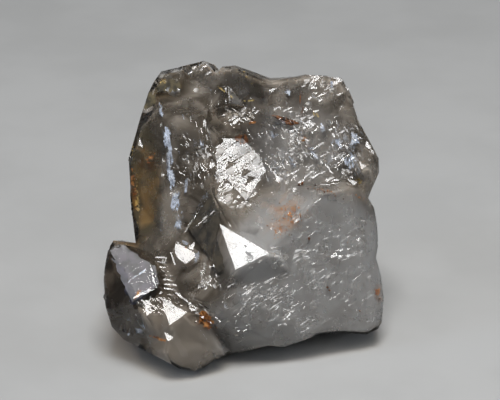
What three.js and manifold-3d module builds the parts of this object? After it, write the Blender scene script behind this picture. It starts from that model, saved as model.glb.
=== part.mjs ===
// Elestial smoky quartz: one hand specimen of parallel-grown, etched quartz crystals on a milky base.
// Units are millimetres, +Z is up, and the origin is at the centre of the footprint, on the resting plane.
// Everything is shaped in the frame of the big leaning front face: x runs to its right, y runs up the
// face and z stands out of it. The leaning group at the end of the file sets that face on its base.

import * as THREE from "three";
import { ConvexGeometry } from "three/addons/geometries/ConvexGeometry.js";
import { mergeVertices } from "three/addons/utils/BufferGeometryUtils.js";
import Module from "manifold-3d";

const wasm = await Module();
wasm.setup();

// Driving dimensions, in millimetres and degrees.
const FRONT_LEAN = 25;              // how far the front face leans back from upright
const REST_LEVEL = 3.0;             // height of the resting plane in the face frame
const MIDDLE_X = -0.1;              // middle of the specimen, across
const MIDDLE_Y = 13.2;              // middle of the specimen, front to back
const TERMINATION_SLOPE = 51.8;     // quartz: a pyramid face's direction leans this far from the axis
const AXIS_FROM_RIGHT = 119.5;      // the shared crystal axis, as seen on the front face
const AXIS_OUTWARD = 0.28;          // how much of that axis points out of the front face
const FACE_TURN = 16.8;             // turn of the prism faces about the axis
const REACH = 70;                   // half size of the box every solid is cut from
const SAME_POINT = 1e-3;            // corners closer than this are one corner
const ON_FACE = 1e-4;               // how far off a face a point may lie and still count as on it
const SLIVER = 0.03;                // edges shorter than this are closed up
const SPROUT_COUNT = 70;            // small crystals scattered over the rough faces
const SPROUT_RISE = 0.3;            // how far a scattered crystal stands out, in its own radius
const SPROUT_BEND = 2.2;            // where a small crystal's front begins to thin out, in its radius
const CLEAR_FOOT = 5;               // no scattered crystal grows this near the resting plane
const SEED = 8;                     // seed of the scattered crystals

// ---------------------------------------------------------------------------
// The lattice all the crystals share
// ---------------------------------------------------------------------------
const across = Math.sqrt(1 - AXIS_OUTWARD ** 2);
const axisAngle = THREE.MathUtils.degToRad(AXIS_FROM_RIGHT);
const crystalAxis = new THREE.Vector3(
  across * Math.cos(axisAngle),
  across * Math.sin(axisAngle),
  AXIS_OUTWARD,
);
const frontward = new THREE.Vector3(0, 0, 1).addScaledVector(crystalAxis, -AXIS_OUTWARD).normalize();
const sideways = crystalAxis.clone().cross(frontward);

// Direction of prism face k, counted round the axis; face 0 is the broad one that fronts the viewer.
function prism(k) {
  const turn = THREE.MathUtils.degToRad(60 * k + FACE_TURN);
  return frontward.clone().multiplyScalar(Math.cos(turn)).addScaledVector(sideways, Math.sin(turn));
}

// Direction of pyramid face k, which stands above prism face k.
function pyramid(k) {
  const slope = THREE.MathUtils.degToRad(TERMINATION_SLOPE);
  return crystalAxis.clone().multiplyScalar(Math.cos(slope)).addScaledVector(prism(k), Math.sin(slope));
}

// ---------------------------------------------------------------------------
// Convex solids from flat faces
// ---------------------------------------------------------------------------
// A flat face that looks along a direction and passes through the point x, y, z.
function face(direction, x, y, z) {
  const normal = Array.isArray(direction) ? new THREE.Vector3(...direction) : direction.clone();
  return new THREE.Plane().setFromNormalAndCoplanarPoint(normal.normalize(), new THREE.Vector3(x, y, z));
}

const boxFaces = [
  face([1, 0, 0], REACH, 0, 0),
  face([-1, 0, 0], -REACH, 0, 0),
  face([0, 1, 0], 0, REACH, 0),
  face([0, -1, 0], 0, -REACH, 0),
  face([0, 0, 1], 0, 0, REACH),
  face([0, 0, -1], 0, 0, -REACH),
];

// The one point that lies on three planes, or null when they share none.
function meetingPoint(a, b, c) {
  const bc = b.normal.clone().cross(c.normal);
  const volume = a.normal.dot(bc);
  if (Math.abs(volume) < 1e-6) return null;
  const ca = c.normal.clone().cross(a.normal);
  const ab = a.normal.clone().cross(b.normal);
  return bc.multiplyScalar(-a.constant)
    .addScaledVector(ca, -b.constant)
    .addScaledVector(ab, -c.constant)
    .divideScalar(volume);
}

// The corners of the convex solid behind all the given faces.
function cornersBehind(faces) {
  const corners = [];
  for (let i = 0; i < faces.length; i += 1) {
    for (let j = i + 1; j < faces.length; j += 1) {
      for (let k = j + 1; k < faces.length; k += 1) {
        const point = meetingPoint(faces[i], faces[j], faces[k]);
        const inside = point && faces.every((side) => side.distanceToPoint(point) < ON_FACE);
        if (inside && corners.every((corner) => corner.distanceTo(point) > SAME_POINT)) corners.push(point);
      }
    }
  }
  return corners;
}

// A three.js geometry as a solid that can be joined and cut.
function solid(geometry) {
  const bare = geometry.clone();
  bare.deleteAttribute("normal");
  bare.deleteAttribute("uv");
  const merged = mergeVertices(bare, ON_FACE);
  const triVerts = merged.index.array;
  return new wasm.Manifold(new wasm.Mesh({
    numProp: 3,
    vertProperties: Float32Array.from(merged.attributes.position.array),
    triVerts: Uint32Array.from(triVerts),
  }));
}

// Several solids grown into one.
function joined(solids) {
  return solids.reduce((whole, next) => whole.add(next));
}

// A block of stone bounded by flat faces.
function block(...faces) {
  return solid(new ConvexGeometry(cornersBehind([...faces, ...boxFaces])));
}

// One quartz crystal in the shared lattice. The major pyramid faces meet at the tip; the minor ones lie
// `blunt` further in, and every prism face sits `radius` from the axis.
function crystal({ tip, radius, length, blunt = 0, extra = [] }) {
  const point = new THREE.Vector3(...tip);
  const faces = [...extra];
  for (let k = 0; k < 6; k += 1) {
    const side = point.clone().addScaledVector(prism(k), radius);
    faces.push(face(prism(k), side.x, side.y, side.z));
    const slip = k % 2 === 0 ? 0 : blunt;
    const slope = point.clone().addScaledVector(pyramid(k), -slip);
    faces.push(face(pyramid(k), slope.x, slope.y, slope.z));
  }
  const root = point.clone().addScaledVector(crystalAxis, -length);
  faces.push(face(crystalAxis.clone().negate(), root.x, root.y, root.z));
  return block(...faces);
}

// ---------------------------------------------------------------------------
// The outline of the leaning front, clockwise from the upper left, with the depth of its widest rim
// ---------------------------------------------------------------------------
const outline = [
  [-17.0, 59.0, -6], [-12.6, 60.1, -6], [-8.4, 61.2, -7], [-6.2, 60.4, -7], [-5.2, 59.2, -5],
  [-4.6, 60.0, -5], [-2.0, 60.2, -6], [1.0, 59.2, -6], [5.0, 57.6, -4], [7.0, 57.6, -3],
  [10.6, 58.0, -3], [12.0, 58.3, -3], [17.0, 58.0, -4], [19.8, 57.0, -3], [21.4, 53.4, -2],
  [22.6, 49.0, 0], [24.6, 45.4, 0], [26.8, 41.4, -1], [26.8, 38.6, 0], [25.4, 35.4, 1],
  [24.6, 33.4, 1], [25.8, 31.4, 1], [26.4, 28.0, 0], [26.6, 24.0, 1], [26.2, 21.4, 2],
  [27.2, 18.0, 1], [27.8, 13.6, 1], [27.4, 8.6, 2], [26.6, 7.4, 2], [24.2, 6.2, 2],
  [19.0, 6.6, 3], [14.6, 6.4, 4], [11.0, 5.0, 5], [8.0, 4.0, 6], [4.6, 4.2, 6],
  [1.0, 3.4, 7], [-2.6, 2.6, 7], [-6.0, 1.6, 8], [-8.0, 0.0, 8], [-10.0, -0.6, 8],
  [-13.0, -0.2, 8], [-16.0, 1.4, 7], [-19.0, 3.0, 7], [-24.0, 5.4, 6], [-26.4, 8.0, 5],
  [-27.6, 12.0, 4], [-28.0, 17.0, 4], [-27.6, 22.0, 5], [-27.4, 23.8, 6], [-26.4, 25.4, 7],
  [-25.0, 25.0, 5], [-21.8, 24.4, 1], [-22.4, 28.0, -2], [-23.2, 34.0, -3], [-23.6, 41.0, -4],
  [-23.0, 45.0, -5], [-21.4, 49.0, -5], [-19.6, 54.6, -6], [-18.4, 57.0, -6],
];

// Rings of the envelope from the front to the back: how deep each lies, how closely it follows the rim's
// depth, its share of the outline's size, how far it slips up the face and how rough it is.
const envelopeRings = [
  { depth: 26, follow: 1, size: 0.84, rise: -2, rough: 0 },
  { depth: 12, follow: 1, size: 0.955, rise: -0.5, rough: 0.25 },
  { depth: 5, follow: 1, size: 0.99, rise: 0, rough: 0.1 },
  { depth: 0, follow: 1, size: 1, rise: 0, rough: 0 },
  { depth: -6, follow: 0.8, size: 0.98, rise: -0.3, rough: 0.4 },
  { depth: -13, follow: 0.5, size: 0.94, rise: -1, rough: 0.8 },
  { depth: -20, follow: 0.2, size: 0.87, rise: -2, rough: 1.1 },
  { depth: -32, follow: 0, size: 0.7, rise: -4.5, rough: 0.9 },
];
const OUTLINE_CENTRE = [0, 29];

// Random number from -1 to 1.
function sway() {
  return 2 * THREE.MathUtils.seededRandom() - 1;
}
THREE.MathUtils.seededRandom(SEED);

// The loft through the envelope's rings, closed at both ends.
function envelope() {
  const count = outline.length;
  const points = [];
  for (const ring of envelopeRings) {
    for (const [x, y, depth] of outline) {
      points.push(
        OUTLINE_CENTRE[0] + (x - OUTLINE_CENTRE[0]) * ring.size + ring.rough * sway(),
        OUTLINE_CENTRE[1] + (y - OUTLINE_CENTRE[1]) * ring.size + ring.rise + ring.rough * sway(),
        ring.depth + ring.follow * depth + ring.rough * sway(),
      );
    }
  }
  const triangles = [];
  for (let ring = 0; ring + 1 < envelopeRings.length; ring += 1) {
    for (let i = 0; i < count; i += 1) {
      const a = ring * count + i;
      const b = ring * count + ((i + 1) % count);
      triangles.push(a, b, b + count, a, b + count, a + count);
    }
  }
  const frontHub = points.length / 3;
  points.push(...OUTLINE_CENTRE, 30);
  const backHub = frontHub + 1;
  points.push(...OUTLINE_CENTRE, -34);
  const last = (envelopeRings.length - 1) * count;
  for (let i = 0; i < count; i += 1) {
    const next = (i + 1) % count;
    triangles.push(frontHub, next, i);
    triangles.push(backHub, last + i, last + next);
  }
  const geometry = new THREE.BufferGeometry();
  geometry.setAttribute("position", new THREE.Float32BufferAttribute(points, 3));
  geometry.setIndex(triangles);
  return solid(geometry);
}

// ---------------------------------------------------------------------------
// The blocks of the body, front to back
// ---------------------------------------------------------------------------
// The milky slab at the lower right: one broad prism face with a worn top edge and a broken foot.
const milkySlab = block(
  face(prism(0), 0, 0, 12.5),
  face([-0.3, 0.52, 0.8], 4.6, 23.6, 12.9),
  face([-0.03, 0.9, 0.43], 14, 36.6, 5.4),
  face([0.45, 0.8, 0.4], 22, 36, 5),
  face([0.22, -0.38, 0.9], 2, 12, 12.8),
  face(prism(-1), -8.0, 14, 15.6),
  face([-0.05, -0.75, 0.66], 4, 5.5, 9.5),
  face([0.8, 0.05, 0.6], 24.8, 15, 3.6),
);

// Where the upper blocks end, inside the lower ones.
const underside = face([0, -1, 0], 0, 31, 0);

// The hollow etched wall above it, one pyramid face set back behind the front crystal.
const etchedWall = block(
  face(pyramid(0), -1, 37, 4.6),
  face([-0.7, 0.35, 0.62], -5.9, 42.4, 1.9),
  face([-0.75, -0.12, 0.65], -6.0, 38.6, 3.8),
  face([0.5, 0.1, 0.85], 5, 40, 3),
  face([0.05, 0.6, 0.8], 0, 45.5, 0.4),
  face([0, -1, 0], 0, 21, 0),
);

// The upper right block, with its bevelled right shoulder.
const upperRight = block(
  face([0.16, 0.14, 0.97], 12, 45, 5.0),
  face([-0.6, 0.12, 0.79], 5.0, 42, 3.8),
  face([0.72, 0.22, 0.65], 20, 50, 2.4),
  face([0.62, -0.45, 0.64], 24.5, 38, 1.2),
  face([0.05, 0.75, 0.66], 12, 56.4, 0.6),
  underside,
);

// The lumps that break up the upper right block.
const upperLump = block(
  face([0.1, 0.17, 0.98], 9.5, 46, 5.6),
  face([-0.55, -0.1, 0.83], 6.6, 46, 5.2),
  face([0.42, -0.12, 0.9], 14, 45, 5.4),
  face([0.1, -0.55, 0.83], 10, 40, 6.0),
);
const rightPillar = block(
  face([0.34, 0.1, 0.93], 20, 44, 4.4),
  face([-0.55, 0.2, 0.81], 17.2, 44, 4.6),
  face([0.1, 0.6, 0.79], 20, 52, 3.2),
  face([0.75, 0.1, 0.65], 23.4, 44, 3.0),
  face([0.1, -0.7, 0.7], 20, 38.6, 4.4),
);

// The layered ridge between the two upper blocks.
const layeredRidge = block(
  face([0.18, 0.5, 0.85], 1, 53, 0.6),
  face([-0.6, 0.35, 0.7], -5, 55, -1),
  face([0.5, 0.5, 0.7], 8, 55, 0),
  face([-0.1, -0.8, 0.6], 0, 51.5, 1.4),
);

// The smooth shoulder at the upper left.
const smoothShoulder = block(
  face([-0.06, 0.62, 0.78], -10, 50, 1.2),
  face([-0.22, 0.05, 0.97], -10.5, 43, 3.6),
  face([-0.73, 0.05, 0.68], -17.2, 38, 1.6),
  face([0.78, 0.25, 0.57], -7.4, 47, 1.6),
  face([-0.5, 0.45, 0.74], -17, 53, -2.2),
  face([0, -1, 0], 0, 14, 0),
);

// The clear chunk that stands out behind it, at the upper left corner.
const cornerChunk = block(
  face([-0.1, 0.3, 0.95], -17, 56, -3.7),
  face([0.1, 0.35, -0.93], -17, 56, -11.5),
  face([0.75, 0.1, 0.65], -12.6, 57, -3.8),
  face([0, -1, 0], 0, 50.5, 0),
);

// The knob that stands on the top edge.
const topKnob = block(
  face([-0.1, 0.25, 0.96], -9, 59, -3.4),
  face([0.6, -0.2, 0.77], -5.6, 58.5, -5),
  face([-0.4, -0.5, 0.77], -10.5, 57.6, -4.5),
);

// The dark shoulder above the middle crystal, with its own point.
const darkShoulder = block(
  face(pyramid(-1), -6.6, 34.6, 8.0),
  face([0.3, 0.62, 0.72], -6.6, 34.6, 8.0),
  face([-0.1, 0.85, 0.5], -6.6, 34.8, 8.0),
  face([-0.8, 0.4, 0.31], -6.6, 34.6, 8.0),
  face(prism(0), -8, 22, 14),
  face([0, -1, 0], 0, 12, 0),
);

// The core that fills the middle behind them all.
const core = block(
  face([0, 0, 1], 0, 0, 0.5),
  face([-0.7, 0.1, 0.7], -17, 30, -1),
  face([0, 0.7, 0.7], 0, 52, -3),
  face([0.6, 0.1, 0.79], 20, 30, 2),
  face([-0.2, -0.6, 0.77], -10, 6, 6),
);

const body = joined([
  milkySlab,
  etchedWall,
  upperRight,
  upperLump,
  rightPillar,
  layeredRidge,
  smoothShoulder,
  topKnob,
  darkShoulder,
  core,
]);

// ---------------------------------------------------------------------------
// The named crystals of the front
// ---------------------------------------------------------------------------
const namedCrystals = [
  // The smoky crystal in the middle, with the bright pyramid face; it thins out down the slab.
  crystal({
    tip: [-5.0, 28.4, 12.8],
    radius: 8.1,
    length: 40,
    extra: [face([0.42, -0.5, 0.76], -3.4, 18.8, 17.5)],
  }),
  // The small crystal left of it.
  crystal({ tip: [-13.8, 25.2, 8.4], radius: 3.4, length: 14, blunt: 0.2 }),
  // The big crystal at the lower left, tip up.
  crystal({
    tip: [-26.6, 25.2, 8.4],
    radius: 8.2,
    length: 40,
    blunt: 0.4,
    extra: [face([0.7, 0.49, 0.5], -17.8, 18.3, 11.8), face([-0.02, 0.56, 0.83], -22.4, 13.2, 14.1)],
  }),
  // The low crystals between that one and the slab: a broad one, and two that step up out of it.
  crystal({
    tip: [-19.0, 15.5, 10.8],
    radius: 7.9,
    length: 30,
    blunt: 0.3,
    extra: [face(prism(0), -15.6, 14.7, 16.9)],
  }),
  crystal({ tip: [-17.3, 15.1, 12.9], radius: 4.5, length: 30, blunt: 0.3 }),
  crystal({ tip: [-20.4, 14.0, 14.0], radius: 2.4, length: 12, blunt: 0.1 }),
];

// ---------------------------------------------------------------------------
// The back, the sides and the resting plane
// ---------------------------------------------------------------------------
const lean = THREE.MathUtils.degToRad(FRONT_LEAN);
const upright = new THREE.Vector3(0, Math.cos(lean), Math.sin(lean));
const restPoint = upright.clone().multiplyScalar(REST_LEVEL);
const restFace = face(upright.clone().negate(), restPoint.x, restPoint.y, restPoint.z);

// The rough limit of the back, and the big crystals that stand out of it.
const backFaces = block(
  face([0, 0.33, -0.944], 0, 14.6, -23),
  face([0.5, 0.3, -0.8], 16, 30, -15),
  face([-0.5, 0.35, -0.8], -15, 34, -14),
  face([0.1, 0.8, -0.6], 0, 60.5, -10),
);
const backCrystals = [
  crystal({ tip: [-14, 52, -8], radius: 6, length: 60, blunt: 0.8 }),
  crystal({ tip: [-2, 57, -7], radius: 7, length: 70, blunt: 0.5 }),
  crystal({ tip: [11, 55, -7.5], radius: 5.5, length: 60, blunt: 1.2 }),
  crystal({ tip: [-10, 40, -13], radius: 6.2, length: 50, blunt: 0.4 }),
  crystal({ tip: [4, 38, -13], radius: 7.2, length: 50, blunt: 0.9 }),
  crystal({ tip: [-20, 27, -14], radius: 5.5, length: 40, blunt: 0.3 }),
  crystal({ tip: [17, 33, -12.5], radius: 5, length: 40, blunt: 0.7 }),
];
const rim = envelope().intersect(block(restFace, face([0.05, 0.12, -0.99], 0, 20, -27)));
const front = joined([body, ...namedCrystals]).intersect(backFaces);
const bigShapes = joined([front, cornerChunk, ...backCrystals]);

// ---------------------------------------------------------------------------
// Small crystals that stand on the big ones, all in the same lattice
// ---------------------------------------------------------------------------
// A joined solid as a three.js geometry.
function geometryOf(shape) {
  const mesh = shape.getMesh();
  const made = new THREE.BufferGeometry();
  made.setAttribute("position", new THREE.Float32BufferAttribute(mesh.vertProperties, 3));
  made.setIndex(Array.from(mesh.triVerts));
  return made.toNonIndexed();
}

const surface = new THREE.Mesh(geometryOf(bigShapes.intersect(rim)));
const probe = new THREE.Raycaster();

// Where a ray from `start` along `heading` first meets the stone: the point and the face's direction.
function landing(start, heading) {
  probe.set(start, heading.clone().normalize());
  const [hit] = probe.intersectObject(surface);
  return hit ? { point: hit.point, normal: hit.face.normal.clone() } : null;
}

// A small crystal whose tip stands `height` off the surface and whose foot thins out down the face.
function sprout({ point, normal }, radius, height) {
  const tip = point.clone().addScaledVector(normal, height);
  const fade = normal.clone().multiplyScalar(0.85).addScaledVector(crystalAxis, -0.53);
  const bend = tip.clone().addScaledVector(crystalAxis, -SPROUT_BEND * radius);
  return crystal({
    tip: [tip.x, tip.y, tip.z],
    radius,
    length: 8 * radius,
    extra: [face(fade, bend.x, bend.y, bend.z)],
  });
}

// The stair of narrow steps between the lower left crystals: where each stands on the front, its
// radius and its height.
const stairs = [
  [-17.3, 21.6, 1.4, 0.75], [-15.7, 20.1, 1.7, 0.9], [-14.2, 17.3, 1.6, 1.0], [-12.3, 15.9, 1.5, 0.9],
  [-10.7, 13.5, 1.4, 0.8], [-8.6, 20.4, 1.3, 0.85], [-7.5, 17.5, 1.45, 0.8], [-9.3, 23.6, 1.2, 0.7],
];
function standingFront(spots) {
  return spots.map(([x, y, radius, height]) => {
    const spot = landing(new THREE.Vector3(x, y, REACH), new THREE.Vector3(0, 0, -1));
    return sprout(spot, radius, height);
  });
}

// Rough patches of the front, as centre and radius on the face, where sprouts may stand.
const roughPatches = [
  [-1, 37, 7], [8, 43, 6], [16, 44, 7], [22, 42, 5], [-9.5, 38, 4], [-4, 52, 6], [13, 53, 5],
  [-19, 36, 4],
];

// Sprouts spread at random over the rough front and the whole of the back and sides.
function scatteredSprouts(count) {
  const middle = new THREE.Vector3(0, 28, -6);
  const found = [];
  while (found.length < count) {
    const heading = new THREE.Vector3(sway(), sway(), sway()).normalize();
    const aim = middle.clone().add(new THREE.Vector3(14 * sway(), 18 * sway(), 8 * sway()));
    const radius = 1.8 + 5.5 * Math.abs(sway()) ** 3;
    const spot = landing(aim.clone().addScaledVector(heading, REACH), heading.clone().negate());
    const along = spot ? spot.normal.dot(crystalAxis) : -1;
    const high = spot ? spot.point.dot(upright) - REST_LEVEL : 0;
    const atFront = spot && spot.normal.z > 0.3;
    const rough = spot && roughPatches.some(([x, y, size]) => (
      Math.hypot(spot.point.x - x, spot.point.y - y) < size
    ));
    if (along > -0.45 && high > CLEAR_FOOT && (!atFront || rough)) {
      const size = atFront ? Math.min(radius, 2.8) : radius;
      found.push(sprout(spot, size, SPROUT_RISE * size));
    }
  }
  return found;
}

const whole = joined([
  bigShapes,
  ...standingFront(stairs),
  ...scatteredSprouts(SPROUT_COUNT),
]).intersect(rim).simplify(SLIVER);

// The outer skin alone, so that no hollow stays sealed between the sprouts.
const [stone] = whole.decompose().sort((a, b) => b.volume() - a.volume());

// ---------------------------------------------------------------------------
// The finished stone
// ---------------------------------------------------------------------------
const faceted = geometryOf(stone);
faceted.computeVertexNormals();

const smokyQuartz = new THREE.MeshStandardMaterial({
  name: "smoky_quartz",
  color: 0xb3aba1,
  roughness: 0.14,
  metalness: 0,
});

const quartz = new THREE.Mesh(faceted, smokyQuartz);
quartz.name = "quartz";

const leaningFace = new THREE.Group();
leaningFace.name = "leaning_face";
leaningFace.rotation.x = THREE.MathUtils.degToRad(90 - FRONT_LEAN);
leaningFace.position.set(-MIDDLE_X, -MIDDLE_Y, -REST_LEVEL);
leaningFace.add(quartz);

const specimen = new THREE.Group();
specimen.name = "elestial_smoky_quartz";
specimen.add(leaningFace);

export default specimen;
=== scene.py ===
"""Elestial smoky quartz: parallel-grown, etched crystals on a milky base, grown as one piece."""

import logging  # noqa: E402
import math  # noqa: E402
import random  # noqa: E402
from collections.abc import Callable, Iterable, Iterator  # noqa: E402
from contextlib import contextmanager  # noqa: E402
from dataclasses import dataclass  # noqa: E402
from enum import Enum  # noqa: E402
from functools import reduce  # noqa: E402
from itertools import combinations, product  # noqa: E402

import bmesh  # noqa: E402
import bpy  # noqa: E402
import numpy as np  # noqa: E402
from mathutils import Matrix, Vector, noise  # noqa: E402
from mathutils.bvhtree import BVHTree  # noqa: E402


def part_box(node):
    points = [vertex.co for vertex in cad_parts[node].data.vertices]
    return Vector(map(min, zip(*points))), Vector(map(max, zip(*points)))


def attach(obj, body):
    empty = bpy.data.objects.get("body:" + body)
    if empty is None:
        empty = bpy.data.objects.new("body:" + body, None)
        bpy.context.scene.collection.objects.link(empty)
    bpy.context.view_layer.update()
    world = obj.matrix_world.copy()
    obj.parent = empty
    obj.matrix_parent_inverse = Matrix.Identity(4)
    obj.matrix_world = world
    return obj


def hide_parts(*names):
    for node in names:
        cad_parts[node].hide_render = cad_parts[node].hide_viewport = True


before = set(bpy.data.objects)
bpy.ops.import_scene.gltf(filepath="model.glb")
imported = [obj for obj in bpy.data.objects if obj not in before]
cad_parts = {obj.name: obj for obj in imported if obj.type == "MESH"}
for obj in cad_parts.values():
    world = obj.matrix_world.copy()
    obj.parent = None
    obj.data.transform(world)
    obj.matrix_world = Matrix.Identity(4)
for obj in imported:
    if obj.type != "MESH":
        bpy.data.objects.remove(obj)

LOG = logging.getLogger("quartz")
MM = 0.001
TINY = 1e-6
ONE_CORNER = 1e-4
RELIEF = 0.05 * MM
RELIEF_SHARE = 0.3
CLEAR_OF_SKIN = 40.0
RIDGE_NOISE_STEP = 7.3
FILM_NOISE_STEP = 9.7
BODY = "root"
NODE = "quartz"
NOISE_SEED = 5

Pair = tuple[float, float]
Triple = tuple[float, float, float]
Thing = bpy.types.Object
Socket = bpy.types.NodeSocket
Material = bpy.types.Material


# ---------------------------------------------------------------------------
# Where things are
# ---------------------------------------------------------------------------
@dataclass(frozen=True)
class LeaningFace:
    """The frame of the big leaning front face: x to its right, y up it, z out of it, in millimetres."""

    lean: float = math.radians(25.0)
    middle: Pair = (-0.1, 13.2)
    rest_level: float = 3.0

    def turn(self, way: np.ndarray) -> np.ndarray:
        """Turn directions from the face frame to the row frame.

        Args:
            way: One direction, or an array of them, in the face frame.

        Returns:
            The same directions in the row frame.
        """
        way = np.asarray(way, float)
        sine, cosine = math.sin(self.lean), math.cos(self.lean)
        x, y, z = way[..., 0], way[..., 1], way[..., 2]
        return np.stack([x, y * sine - z * cosine, y * cosine + z * sine], axis=-1)

    def out(self) -> np.ndarray:
        """Return the direction straight out of the face, in the row frame."""
        return self.turn(np.array([0.0, 0.0, 1.0]))

    def origin(self) -> np.ndarray:
        """Return the row frame's origin, in millimetres, turned to the row frame."""
        return np.array([*self.middle, self.rest_level])

    def place(self, spot: np.ndarray) -> np.ndarray:
        """Place points of the face frame, in millimetres, in the row frame, in metres."""
        return (self.turn(spot) - self.origin()) * MM

    def back(self, spot: np.ndarray) -> np.ndarray:
        """Read row-frame points, in metres, in the face frame, in millimetres."""
        return self.unturn(np.asarray(spot, float) / MM + self.origin())

    def unturn(self, way: np.ndarray) -> np.ndarray:
        """Turn row-frame directions back to the face frame.

        Args:
            way: An array of directions.

        Returns:
            The directions in the face frame.
        """
        sine, cosine = math.sin(self.lean), math.cos(self.lean)
        x, y, z = way[..., 0], way[..., 1], way[..., 2]
        return np.stack([x, y * sine + z * cosine, -y * cosine + z * sine], axis=-1)


FACE = LeaningFace()


@dataclass(frozen=True)
class Ellipse:
    """An upright ellipse on the leaning face, in millimetres."""

    spot: Pair
    reach: Pair

    def far(self, spots: np.ndarray) -> np.ndarray:
        """Return how far out each spot lies: 0 in the middle, 1 on the outline."""
        across, up = ((spots[:, i] - self.spot[i]) / self.reach[i] for i in (0, 1))
        return np.hypot(across, up)

    def inside(self, spots: np.ndarray, end: float, width: float) -> np.ndarray:
        """Return 1 at each spot well inside, falling to 0 over a width that ends at end."""
        return np.clip((end - self.far(spots)) / width, 0, 1)


@dataclass(frozen=True)
class Patch:
    """A soft-edged ellipsoid of the stone, in the face frame, in millimetres."""

    spot: Triple
    reach: Triple
    strength: float = 1.0
    core: float = 0.4


@dataclass(frozen=True)
class Lattice:
    """The one lattice that all the crystals share: its axis and its prism and pyramid faces."""

    axis_from_right: float = math.radians(119.5)
    outward: float = 0.28
    face_turn: float = 16.8
    slope: float = math.radians(51.8)

    def axis(self) -> np.ndarray:
        """Return the crystal axis in the row frame."""
        across = math.sqrt(1 - self.outward**2)
        right, up = math.cos(self.axis_from_right), math.sin(self.axis_from_right)
        return FACE.turn(np.array([across * right, across * up, self.outward]))

    def prism(self, k: int) -> np.ndarray:
        """Find the direction of a prism face.

        Args:
            k: The face's number, counted round the axis.

        Returns:
            The direction in the row frame.
        """
        axis = self.axis()
        out = FACE.out()
        front = out - axis * out.dot(axis)
        front /= np.linalg.norm(front)
        side = np.cross(axis, front)
        turn = math.radians(60 * k + self.face_turn)
        return front * math.cos(turn) + side * math.sin(turn)

    def pyramid(self, k: int) -> np.ndarray:
        """Return the direction of pyramid face k, in the row frame."""
        return self.axis() * math.cos(self.slope) + self.prism(k) * math.sin(self.slope)


LATTICE = Lattice()


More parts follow.
